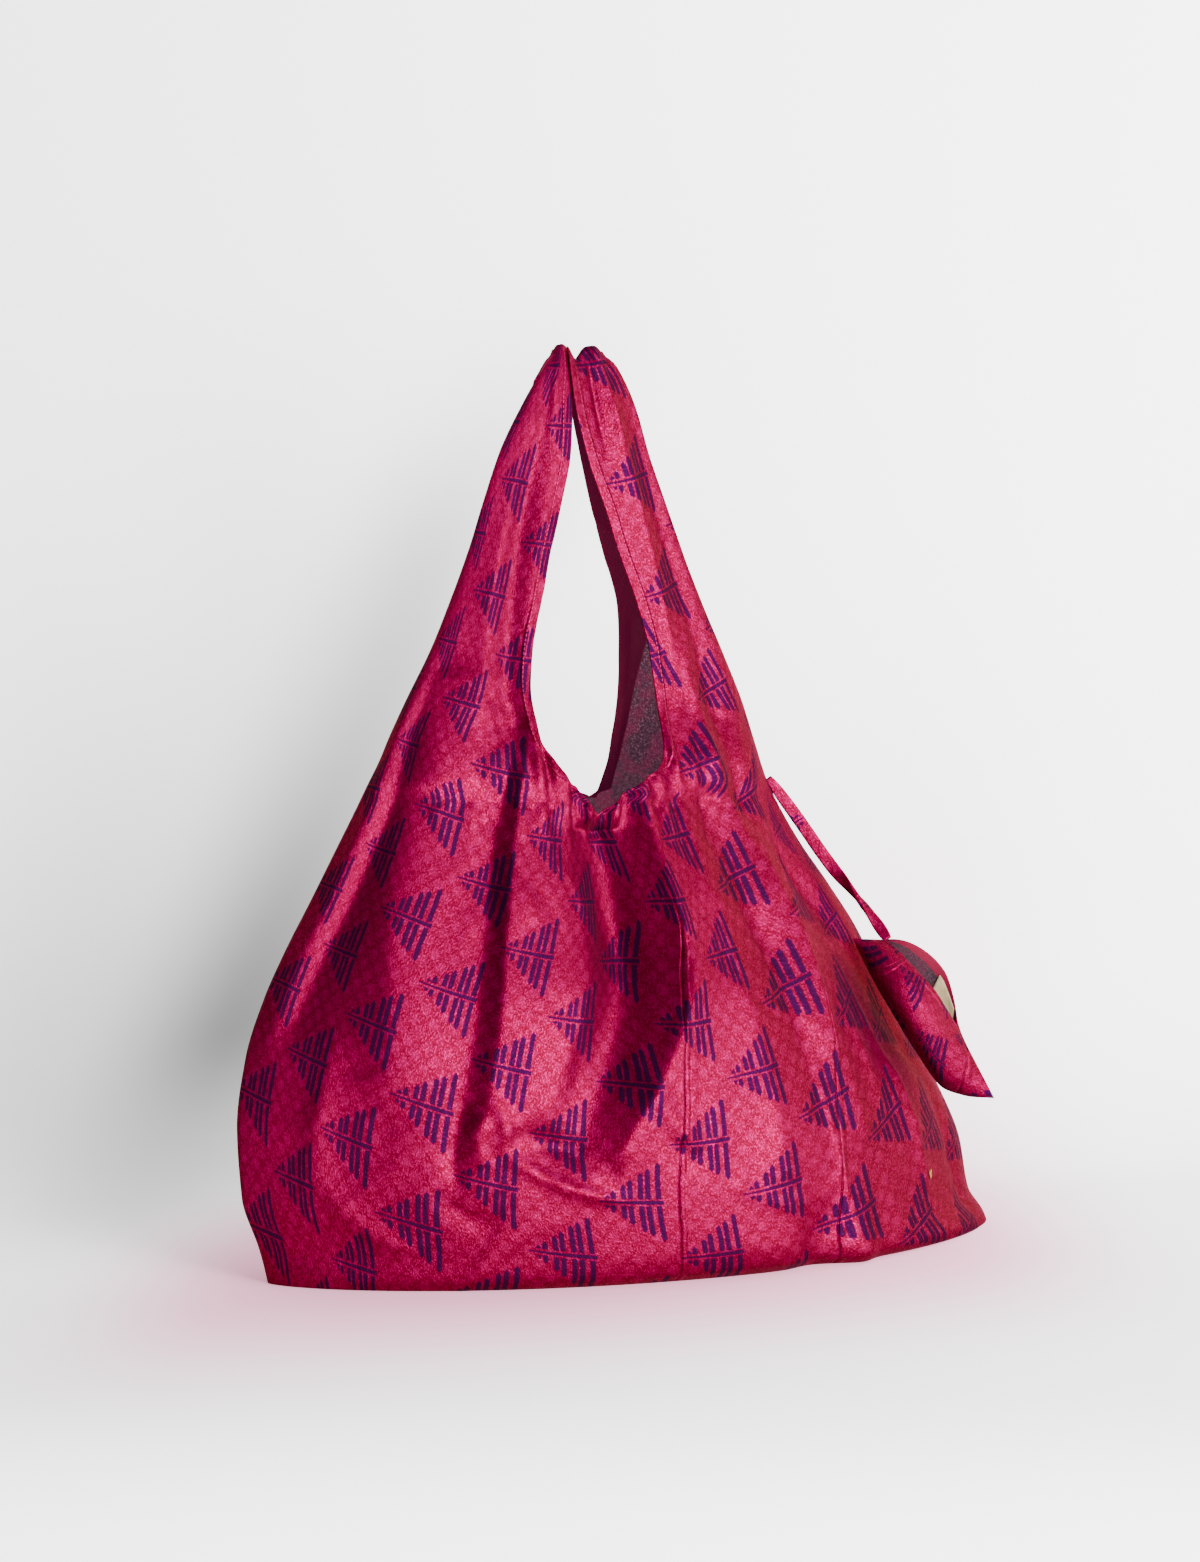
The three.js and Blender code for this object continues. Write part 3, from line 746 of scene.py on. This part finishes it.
class Group(Nodes):
    """Shader group with named inputs, each a place, where its default is None, or a number."""

    def __init__(self, name, **inputs):
        super().__init__(bpy.data.node_groups.new(name, "ShaderNodeTree"))
        for label, value in inputs.items():
            kind = "NodeSocketVector" if value is None else "NodeSocketFloat"
            socket = self.tree.interface.new_socket(label, in_out="INPUT", socket_type=kind)
            if value is not None:
                socket.default_value = value
        self.given = {socket.name: Value(self, socket) for socket in self.tree.nodes.new("NodeGroupInput").outputs}

    def finish(self, **values):
        """Puts out each value under its name and gives the finished tree."""
        for label in values:
            self.tree.interface.new_socket(label, in_out="OUTPUT", socket_type="NodeSocketFloat")
        self.feed(self.tree.nodes.new("NodeGroupOutput").inputs, values)
        return self.tree


class Material(Nodes):
    """Material with one Principled shader."""

    def __init__(self, name):
        self.material = bpy.data.materials.new(name)
        self.material.use_nodes = True
        super().__init__(self.material.node_tree)
        self.tree.nodes.clear()
        self.shader = self.add("BsdfPrincipled")
        self.end = self.add("OutputMaterial").inputs
        self.feed(self.end, [Value(self, self.shader.outputs[0])])

    def finish(self, **values):
        """Feeds the shader's sockets, named with low lines for spaces, and gives the material."""
        self.feed(self.shader.inputs, {key.replace("_", " "): value for key, value in values.items()})
        return self.material


def get_material(name, maker, *rest):
    return bpy.data.materials.get(name) or maker(name, *rest)


def solid(colour):
    """Colour of three values with its alpha."""
    return (*colour, 1)


def tree_print(name):
    """Rows of small block-printed trees lying on their sides. In each cell of a half-drop
    lattice a mask is the greatest of one stem and seven bars, each the product of soft steps
    of the distance along and across it."""
    n = Group(name, Vector=None, Rag=0.5)
    rag = (n.noise(n.given["Vector"], 900.0) - 0.5) * n.given["Rag"]
    u, v, _ = n.split(n.given["Vector"])
    u, v = u / (COLUMN_STEP * MM), v / (ROW_STEP * MM)
    column = u.nearest()
    v = v - (0.5 - column.odd() * 0.5)
    along = (u - column) * COLUMN_STEP + TREE_HALF + rag * 1.8
    away = abs((v - v.nearest()) * ROW_STEP + rag * 1.4)
    thick = along.ramp(0.0, 36.0, 0.5, 1.25)
    mask = (away - thick).ramp(0.3, -0.3) * abs(along - TREE_HALF).ramp(TREE_HALF + 0.4, TREE_HALF - 0.4)
    for at, reach in TREE_BARS:
        off = abs(along - at)
        tip = (away + off * 1.1).ramp(reach + 0.6, reach - 0.3)
        mask = n.math("MAXIMUM", mask, off.ramp(1.95, 1.35) * (tip * away.ramp(1.6, 2.3)))
    return n.finish(Mask=mask)


def woven_rosettes(name):
    """Soft woven rosettes on a staggered lattice: inside a radius that swings with the angle
    six times round, fading to the edge."""
    n = Group(name, Vector=None, Step=13.5, Radius=4.4)
    step = n.given["Step"]
    u, v, _ = n.split(n.given["Vector"])
    u, v = u / (step * MM), v / (step * (MM * 0.5))
    row = v.nearest()
    u = u - row.odd() * 0.5
    x, y = (u - u.nearest()) * step, (v - row) * (step * 0.5)
    petals = n.math("COSINE", n.math("ARCTAN2", y, x) * 6.0) * 0.7
    share = n.math("SQRT", x * x + y * y) / (n.given["Radius"] + petals)
    uneven = n.noise(n.given["Vector"], 70.0).ramp(0.35, 0.62, 0.35, 1.0)
    return n.finish(Mask=share.ramp(1.1, 0.45) * uneven)


def crepe_weave(name):
    """Crepe satin weave: uneven floats of yarn, finer than a millimetre, as a height and a
    glitter of single threads that catch the light."""
    n = Group(name, Vector=None)
    place = n.vector("MULTIPLY", (n.given["Vector"], (1.0, 0.7, 1.0)))
    fine = n.noise(place, 1050.0, 2.0, 0.6)
    coarse = n.noise(place, 560.0, 3.0, 0.6)
    return n.finish(Height=fine * 0.7 + coarse * 0.55, Glitter=(fine * 0.6 + coarse * 0.4).ramp(0.47, 0.62))


def hem_stitches(name):
    """Row of stitches a few millimetres from a hemmed edge, from the distance to the edge and
    a length along it, both in metres, and the step of the turned cloth up to the stitches."""
    n = Group(name, Edge=0.05, Along=0.0, Hem=6.0)
    hem = n.given["Hem"]
    edge = n.given["Edge"] * (1 / MM)
    beat = abs(n.math("FRACT", n.given["Along"] / STITCH_STEP) - 0.5)
    return n.finish(Stitch=abs(edge - hem).ramp(0.7, 0.25) * beat.ramp(0.38, 0.28), Fold=edge.ramp(hem + 1.6, hem))


def pressed_joins(name):
    """Pressed joins that run down the cloth: straight lines across = start + lean * height on
    the flat cloth, each a narrow groove beside a low lip. The groove also gives a mask of painted shade."""
    n = Group(name, Vector=None)
    across, up, _ = n.split(n.vector("SCALE", {"Vector": n.given["Vector"], "Scale": 1 / MM}))
    wander = n.noise(n.given["Vector"], 30.0, 1.0).ramp(0.0, 1.0, -1.5, 1.5)
    low = up.ramp(*PRESSED_TOP)
    height, line = 0.0, 0.0
    for start, lean in PRESSED:
        off = (across + wander) - (up * lean + start)
        groove = abs(off).ramp(0.9, 0.0)
        lip = abs(off - 2.4).ramp(2.4, 0.4)
        line = n.math("MAXIMUM", line, groove * low)
        height = (lip - groove) * low + height
    return n.finish(Height=height, Line=line)


def printed_satin(name, look):
    """Right side of the cloth: crimson satin with paler rosettes and purple printed trees, and painted shade in the
    grooves of the pressed joins.
    """
    n = Material(name)
    at = n.cloth_place()
    trees = n.group(tree_print, Vector=at, Rag=1.0)["Mask"]
    rosettes = n.group(woven_rosettes, Vector=at)["Mask"]
    weave = n.group(crepe_weave, Vector=at)
    hem = n.group(hem_stitches, Edge=n.from_hem(), Along=n.split(at)[1])
    joins = n.group(pressed_joins, Vector=at)
    colour = solid(look.cloth)
    # Painted shade: the grooves of the pressed joins are darkened with the deep colour.
    for share, over in ((rosettes * 0.65, look.rosette), (weave["Glitter"] * 0.25, look.glitter),
                        (n.noise(at, 14.0).ramp(0.35, 0.7, 0.0, 0.22), look.deep), (trees * 0.9, look.trees),
                        (hem["Stitch"] * 0.6, look.stitches), (joins["Line"] * 0.45, look.deep)):
        colour = n.blend(share, colour, solid(over))
    height = weave["Height"] + (hem["Fold"] * 1.2 + hem["Stitch"] * 0.8) + joins["Height"] * 1.1
    rough = weave["Glitter"].ramp(0.0, 1.0, look.roughness + 0.06, look.roughness - 0.08) + trees * 0.08
    return n.finish(Base_Color=colour, Roughness=rough, Normal=n.bump(height, 0.0005), Metallic=0.92,
                    Specular_IOR_Level=0.25, Specular_Tint=(0.42, 0.012, 0.17, 1), Sheen_Weight=0.02,
                    Sheen_Roughness=0.4, Sheen_Tint=(1.0, 0.3, 0.5, 1))


def wrong_side(name, look, hem_colour_and_shade, shade=0.0):
    """Wrong side of the cloth: dull mauve with the rosettes and trees showing through, and the
    turned hem in a colour of the right side, wider at the handles: on the bag the deep colour, as
    painted shade inside it, and on the pouch the plain cloth colour. shade darkens the mauve, as
    painted shade inside the pouch. The side also has a painted glow, dim red on the turned hem,
    that stands in for daylight through the thin cloth."""
    n = Material(name)
    at = n.cloth_place()
    trees = n.group(tree_print, Vector=at, Rag=1.4)["Mask"]
    weave = n.group(crepe_weave, Vector=at)
    patches = n.noise(at, 60.0, 3.0).ramp(0.45, 0.62)
    colour = n.blend(weave["Glitter"], solid(look.wrong), solid(look.wrong_light))
    colour = n.blend(patches * 0.4, colour, solid(look.wrong_pink))
    colour = n.blend(trees * 0.3, colour, solid(look.wrong_dark))
    # Painted shade: the mauve is darkened towards black inside the pouch.
    if shade:
        colour = n.blend(shade, colour, BLACK)
    hem = n.split(n.object_place())[2].ramp(0.32, 0.42, 0.009, 0.030)
    turned = (n.from_hem() - hem).ramp(0.0006, -0.0006)
    # The turned hem: on the bag its deep colour is painted shade inside the bag.
    colour = n.blend(turned, colour, solid(hem_colour_and_shade))
    # Painted glow: the wrong side gives off light of its own colour, dim red on the turned hem, standing in for
    # daylight through the thin cloth.
    return n.finish(Base_Color=colour, Emission_Color=n.blend(turned, colour, HEM_GLOW),
                    Emission_Strength=look.through * (1 - shade), Normal=n.bump(weave["Height"], 0.0004),
                    Roughness=weave["Glitter"].ramp(0.0, 1.0, 0.72, 0.55), Specular_IOR_Level=0.08)


def cotton(name, look):
    """Cream cotton tape of the label, plain woven."""
    n = Material(name)
    at = n.cloth_place()
    warp, weft = (n.math("SINE", place * YARNS) for place in n.split(at)[:2])
    worn = n.noise(at, 120.0, 3.0)
    return n.finish(Base_Color=n.blend(worn.ramp(0.3, 0.8), solid(look.label), solid(look.label_worn)),
                    Roughness=worn.ramp(0.0, 1.0, 0.75, 0.9), Normal=n.bump(warp * weft, 0.00015),
                    Specular_IOR_Level=0.08)


def yellow_thread(name, look):
    """Single yellow sewing thread, with its twist."""
    n = Material(name)
    twist = n.noise(n.object_place(), 2400.0, 1.0)
    return n.finish(Base_Color=n.blend(twist, solid(look.thread_dark), solid(look.thread)),
                    Roughness=twist.ramp(0.0, 1.0, 0.6, 0.8))


def paper(name, look):
    """Pale paper sweep, seen from its lit side only, with pink light thrown back round the base.
    Part of its brightness is given straight to the camera, and the paper in front throws light
    up at the bag. The shade behind the bag is a leaning band that fades up and to the sides.
    The paper is also painted darker to the left, and its glow grows towards the front as a painted pool of light."""
    n = Material(name)
    place = n.object_place()
    across, behind, height = n.along(place, SIDEWAYS), n.along(place, AWAY), n.split(place)[2]
    from_base = n.vector("LENGTH", (n.vector("MULTIPLY", (place, BASE_SQUEEZE)),), "Value")
    pink = from_base.ramp(0.9, 3.0, 1.0, 0.0) * (across.ramp(0.36, 0.18) * across.ramp(-0.36, -0.22))
    off = abs((across + 0.149) * 0.920 - (height - 0.425) * 0.392)
    shade = off.ramp(0.11, 0.0) * height.ramp(0.45, 0.02, 0.50, 0.72)
    shade = shade * (behind.ramp(-0.1, 0.2) * height.ramp(0.66, 0.42)) * height.ramp(0.0, 0.10, 0.4, 1.0)
    # Painted light falloff: the paper is darker to the left, down to 0.88.
    lit = (1.0 - shade) * across.ramp(-0.55, 0.4, 0.88, 1.0)
    seen = n.seen()
    glow = seen * look.glow + (1.0 - seen) * behind.ramp(0.1, -0.3, 0.0, look.upward)
    one_sided = n.put("MixShader", (n.put("NewGeometry", output="Backfacing"), Value(n, n.shader.outputs[0]),
                                    n.put("BsdfTransparent")))
    n.feed(n.end, [one_sided])
    # Painted pool of light: the paper's glow grows up to 3.2 times towards the front.
    return n.finish(Base_Color=n.blend(lit, BLACK, n.blend(pink, solid(look.floor), solid(look.bounce))),
                    Emission_Color=n.blend(pink, PAPER_GLOW, solid(look.bounce)),
                    Emission_Strength=glow * (lit * behind.ramp(-0.34, -0.66, 1.0, 3.2)),
                    Roughness=0.8, Specular_IOR_Level=0.1)


# Settings

def colour(label, about, value):
    return FloatVectorProperty(name=label, description=about, subtype="COLOR", size=3, min=0, max=1, default=value)


def amount(label, about, value, low=0.0, high=1000.0, unit="NONE"):
    return FloatProperty(name=label, description=about, default=value, min=low, max=high, unit=unit)


def whole(label, about, value, low, high):
    return IntProperty(name=label, description=about, default=value, min=low, max=high)


class BagLook(bpy.types.PropertyGroup):
    """Colours and sizes of the cloth."""
    cloth: colour("Cloth", "Crimson ground of the right side", (0.085, 0.0002, 0.0102))
    # The deep colour also paints shade: in the grooves of the pressed joins and on the bag's turned hem inside it.
    deep: colour("Deep shade", "Darker patches of the ground", (0.055, 0.0001, 0.0075))
    rosette: colour("Rosettes", "Paler woven rosettes", (0.150, 0.0003, 0.0320))
    glitter: colour("Glitter", "Single threads that catch the light", (0.44, 0.0012, 0.130))
    trees: colour("Trees", "Purple of the printed trees", (0.009, 0.0008, 0.018))
    stitches: colour("Stitches", "Sewing thread of the hems", (0.30, 0.01, 0.06))
    wrong: colour("Wrong side", "Ground of the wrong side", (0.022, 0.008, 0.013))
    wrong_light: colour("Wrong side threads", "Pale threads of the wrong side", (0.072, 0.029, 0.047))
    wrong_pink: colour("Wrong side patches", "Pink patches of the wrong side", (0.090, 0.006, 0.026))
    wrong_dark: colour("Wrong side print", "Print that shows through", (0.016, 0.006, 0.014))
    # Strength of the wrong side's painted glow, standing in for daylight through the thin cloth.
    through: amount("Light through", "Daylight that comes through the thin cloth", 2.6)
    label: colour("Label", "Cream cotton tape", (0.38, 0.29, 0.16))
    label_worn: colour("Worn label", "Darker patches of the tape", (0.27, 0.20, 0.11))
    thread: colour("Thread", "Yellow sewing thread", (0.22, 0.11, 0.008))
    thread_dark: colour("Thread's twist", "Darker side of the thread", (0.13, 0.055, 0.003))
    roughness: amount("Roughness", "Roughness of the satin", 0.50, 0.1, 1)
    thickness: amount("Cloth", "Thickness of the cloth", 0.0009, 0.0002, 0.003, "LENGTH")
    tape: amount("Tape", "Thickness of the label", 0.0006, 0.0002, 0.003, "LENGTH")
    rows: whole("Rows", "Cells up a panel", 240, 60, 400)
    columns: whole("Columns", "Cells across half a panel", 96, 20, 200)


class StageLook(bpy.types.PropertyGroup):
    """Floor, lights and camera."""
    floor: colour("Floor", "Pale studio floor", (0.80, 0.80, 0.81))
    bounce: colour("Bounce", "Paper close to the base, in the cloth's light", (0.66, 0.30, 0.42))
    key: amount("Key light", "Power of the large soft light", 232.0, unit="POWER")
    overhead: amount("Overhead light", "Power of the soft light from above", 34.0, unit="POWER")
    fill: amount("Fill light", "Power of the light from the right", 108.0, unit="POWER")
    air: amount("Air light", "Strength of the light from all round", 0.15)
    backdrop: amount("Backdrop", "Brightness of the plain backdrop", 7.0)
    glow: amount("Paper glow", "Even light of the paper towards the camera", 1.0)
    upward: amount("Light off the paper", "Light that the paper in front throws up", 2.0)
    lens: amount("Lens", "Focal length", 66.84, 10, 200, "CAMERA")


def cloth_materials(look):
    # The bag's wrong side takes the deep colour for its turned hem, as painted shade inside the bag.
    return (get_material("Sari right side", printed_satin, look),
            get_material("Sari wrong side", wrong_side, look, look.deep))


# Pieces

class BAG_OT_panels(bpy.types.Operator):
    """Front and back panels, each with two handle halves"""
    bl_idname = "shopping_bag.panels"
    bl_label = "Panels"

    def execute(self, context):
        look = context.scene.bag_look
        for side in ("front", "back"):
            points, cells, flat, edge = panel_surface(side, look.rows, look.columns)
            obj = put_mesh(f"{side}_cloth", points, cells, flat, cloth_materials(look), {"edge": edge})
            weld(obj)
            thicken(obj, look.thickness, 1)
            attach(obj, "root")
            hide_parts(f"{side}_panel")
        return {"FINISHED"}


def pouch_mesh(name, near, share, up, materials, set_in=0.0):
    """Sheet on a pouch wall, over a range of places along its seam and up to its rim. set_in
    moves it towards the camera."""
    share, up = np.meshgrid(share, up)
    points = pouch_wall(near, share, up) - AWAY * set_in
    cells = quads_of(grid_ids(points))
    if not near:
        cells = cells[:, ::-1]
    wide, high = POUCH_FLAT
    flat = np.stack([share * wide, up * high], axis=2)
    return put_mesh(name, (points + BAG_SHIFT) * MM, cells, flat, materials, {"edge": (1 - up) * high})


class BAG_OT_pouch(bpy.types.Operator):
    """Small pouch that the bag folds away into, with its blank label"""
    bl_idname = "shopping_bag.pouch"
    bl_label = "Pouch"

    def execute(self, context):
        look = context.scene.bag_look
        right = cloth_materials(look)[0]
        wrong = get_material("Pouch wrong side", wrong_side, look, look.cloth, POUCH_SHADE)
        share = (1 - np.cos(np.linspace(0, math.pi, POUCH_POINTS[0]))) / 2
        up = np.linspace(0, 1, POUCH_POINTS[1])
        for name, area in (("front", 0.0075), ("back", 0.0058)):
            obj = pouch_mesh(f"pouch_{name}_cloth", name == "front", share, up, (right, wrong))
            weld(obj)
            thicken(obj, look.thickness, 1)
            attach(obj, "root")
            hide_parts(f"pouch_{name}")
        label = pouch_mesh("label_tape", False, np.linspace(*LABEL_ALONG), np.linspace(*LABEL_UP),
                           (get_material("Cream cotton", cotton, look),), LABEL_SET_IN)
        thicken(label, look.tape, 0)
        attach(label, "root")
        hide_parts("pouch_label")
        return {"FINISHED"}


class BAG_OT_tie(bpy.types.Operator):
    """Narrow tie that joins the pouch to the side seam"""
    bl_idname = "shopping_bag.tie"
    bl_label = "Tie"

    def execute(self, context):
        corner = pouch_wall(True, np.array(0.0), np.array(1.0)) + POUCH_UP * TIE_CORNER_LIFT
        t = np.linspace(0, 1, TIE_STEPS)
        turn = np.clip((t - TIE_TURN_FROM) / (1 - TIE_TURN_FROM), 0, 1)
        narrow = sum(deep * np.exp(-(np.abs(t - at) / far) ** power) for deep, at, far, power in TIE_PINCHES)
        pinch = 1 - 0.5 * np.minimum(narrow, 1)
        bulk, at, far = TIE_BULK
        thick = TIE_THIN + 0.5 * (1 - pinch) + bulk * bell(t - at, far)
        angle = np.linspace(0, 2 * math.pi, TIE_AROUND, endpoint=False)
        ring = [np.sign(way) * np.abs(way) ** 0.6 for way in (np.cos(angle), np.sin(angle))]
        rings = tube_rings(curve_through([*TIE, corner], TIE_STEPS), AWAY, ring, TIE_HALF * pinch, thick,
                           math.pi * turn * turn * (3 - 2 * turn))
        uv = np.stack(np.meshgrid(ring[0] * TIE_HALF * MM + TIE_PRINT_U, t * TIE_LENGTH), axis=2)
        obj = put_tube("tie_cloth", (rings + BAG_SHIFT) * MM, uv, cloth_materials(context.scene.bag_look)[:1],
                       {"edge": np.full(rings.shape[:2], FAR_FROM_HEM * MM)})
        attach(obj, "root")
        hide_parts("pouch_tie")
        return {"FINISHED"}


class BAG_OT_thread(bpy.types.Operator):
    """Small knot of yellow thread low on the front"""
    bl_idname = "shopping_bag.thread"
    bl_label = "Thread knot"

    def execute(self, context):
        look = context.scene.bag_look
        points = panel_surface("front", look.rows, look.columns)[0]
        behind = points[:, 1] > 0
        centre = points[np.argmin(np.linalg.norm((points - THREAD_PLACE)[:, [0, 2]], axis=1) + behind)]
        out = np.array([math.cos(THREAD_FACING), math.sin(THREAD_FACING), 0.0])
        side = np.array([-out[1], out[0], 0.0])
        t = np.linspace(0, 1, THREAD_STEPS)
        (swing, swings), (loop, loops), (hop, hops) = THREAD_WAVES
        across = swing * np.sin(2 * math.pi * swings * t + 0.4) * (1 - 0.3 * t)
        height = THREAD_LONG * (t - 0.5) + loop * np.sin(2 * math.pi * loops * t)
        lift = THREAD_OFF + hop * np.sin(2 * math.pi * hops * t) ** 2
        line = centre + sum(steps[:, None] * way for steps, way in ((across, side), (height, UPRIGHT), (lift, out)))
        angle = np.linspace(0, 2 * math.pi, THREAD_AROUND, endpoint=False)
        thick = np.full(THREAD_STEPS, THREAD_RADIUS)
        rings = tube_rings(line, -out, (np.cos(angle), np.sin(angle)), thick, thick)
        obj = put_tube("thread_knot", rings, np.stack(np.meshgrid(angle, t)[::-1], axis=2),
                       (get_material("Yellow thread", yellow_thread, look),))
        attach(obj, "root")
        return {"FINISHED"}


def on_stage(side, away, up):
    """Place in metres from steps to the camera's right, away from it, and up."""
    return SIDEWAYS * side + AWAY * away + UPRIGHT * up


def put_aimed(data, place, ahead):
    """Light or camera in the scene at a place, looking ahead."""
    obj = bpy.data.objects.new(data.name, data)
    bpy.context.scene.collection.objects.link(obj)
    obj.location = place
    obj.rotation_euler = Vector(ahead).to_track_quat("-Z", "Y").to_euler()
    return obj


def put_paper(look):
    """Paper that lies under the bag and bends up behind it."""
    turn = np.linspace(0, math.pi / 2, 24)
    level_part = np.linspace(SWEEP_FRONT, SWEEP_START, 24)[:-1]
    wall_part = np.linspace(SWEEP_RADIUS, SWEEP_TOP, 11)[1:]
    away = np.concatenate([level_part, SWEEP_START + SWEEP_RADIUS * np.sin(turn),
                           0 * wall_part + SWEEP_START + SWEEP_RADIUS])
    up = np.concatenate([0 * level_part, SWEEP_RADIUS * (1 - np.cos(turn)), wall_part])
    side = np.linspace(-SWEEP_SIDE, SWEEP_SIDE, 41)[None]
    points = on_stage(side[..., None], away[:, None, None], (up - PAPER_BELOW)[:, None, None])
    flat = np.stack(np.broadcast_arrays(side, (away + up)[:, None]), axis=2)
    floor = put_mesh("floor", points, quads_of(grid_ids(points)), flat, (get_material("Pale paper", paper, look),))


def put_air(world, look):
    """Even light from all round, and the plain backdrop that the camera sees."""
    world.use_nodes = True
    n = Nodes(world.node_tree)
    n.feed(n.tree.nodes["Background"].inputs,
           {"Color": WHITE_AIR, "Strength": n.seen().ramp(0.0, 1.0, look.air, look.backdrop)})


class BAG_OT_stage(bpy.types.Operator):
    """Pale floor, soft studio lights and the camera"""
    bl_idname = "shopping_bag.stage"
    bl_label = "Stage"

    def execute(self, context):
        look = context.scene.bag_stage
        put_paper(look)
        context.scene.world = bpy.data.worlds.new("Studio air")
        put_air(context.scene.world, look)
        for key, place, aim, size, tint in LIGHTS:
            light = bpy.data.lights.new(key.capitalize(), "AREA")
            light.shape = "RECTANGLE"
            light.size, light.size_y = size
            light.energy = getattr(look, key)
            light.color = tint
            put_aimed(light, on_stage(*place), UPRIGHT * aim - on_stage(*place))
        camera = bpy.data.cameras.new("Camera")
        camera.lens = look.lens
        camera.sensor_width = 36
        context.scene.camera = put_aimed(camera, CAMERA_PLACE, AWAY - UPRIGHT * CAMERA_DROP)
        return {"FINISHED"}


class BAG_PT_panel(bpy.types.Panel):
    """Lists the bag's pieces and settings"""
    bl_idname = "BAG_PT_panel"
    bl_label = "Shopping bag"
    bl_space_type = "VIEW_3D"
    bl_region_type = "UI"
    bl_category = "Shopping bag"

    def draw(self, context):
        for step in STEPS:
            self.layout.operator(step.bl_idname)
        for group in (context.scene.bag_look, context.scene.bag_stage):
            for key in group.__annotations__:
                self.layout.prop(group, key)


STEPS = (BAG_OT_stage, BAG_OT_panels, BAG_OT_pouch, BAG_OT_tie, BAG_OT_thread)
CLASSES = (BagLook, StageLook, *STEPS, BAG_PT_panel)


def register():
    for item in CLASSES:
        bpy.utils.register_class(item)
    bpy.types.Scene.bag_look = PointerProperty(type=BagLook)
    bpy.types.Scene.bag_stage = PointerProperty(type=StageLook)


def unregister():
    del bpy.types.Scene.bag_look
    del bpy.types.Scene.bag_stage
    for item in reversed(CLASSES):
        bpy.utils.unregister_class(item)


def main():
    register()
    for step in STEPS:
        group, name = step.bl_idname.split(".")
        getattr(getattr(bpy.ops, group), name)()


if __name__ == "__main__":
    main()
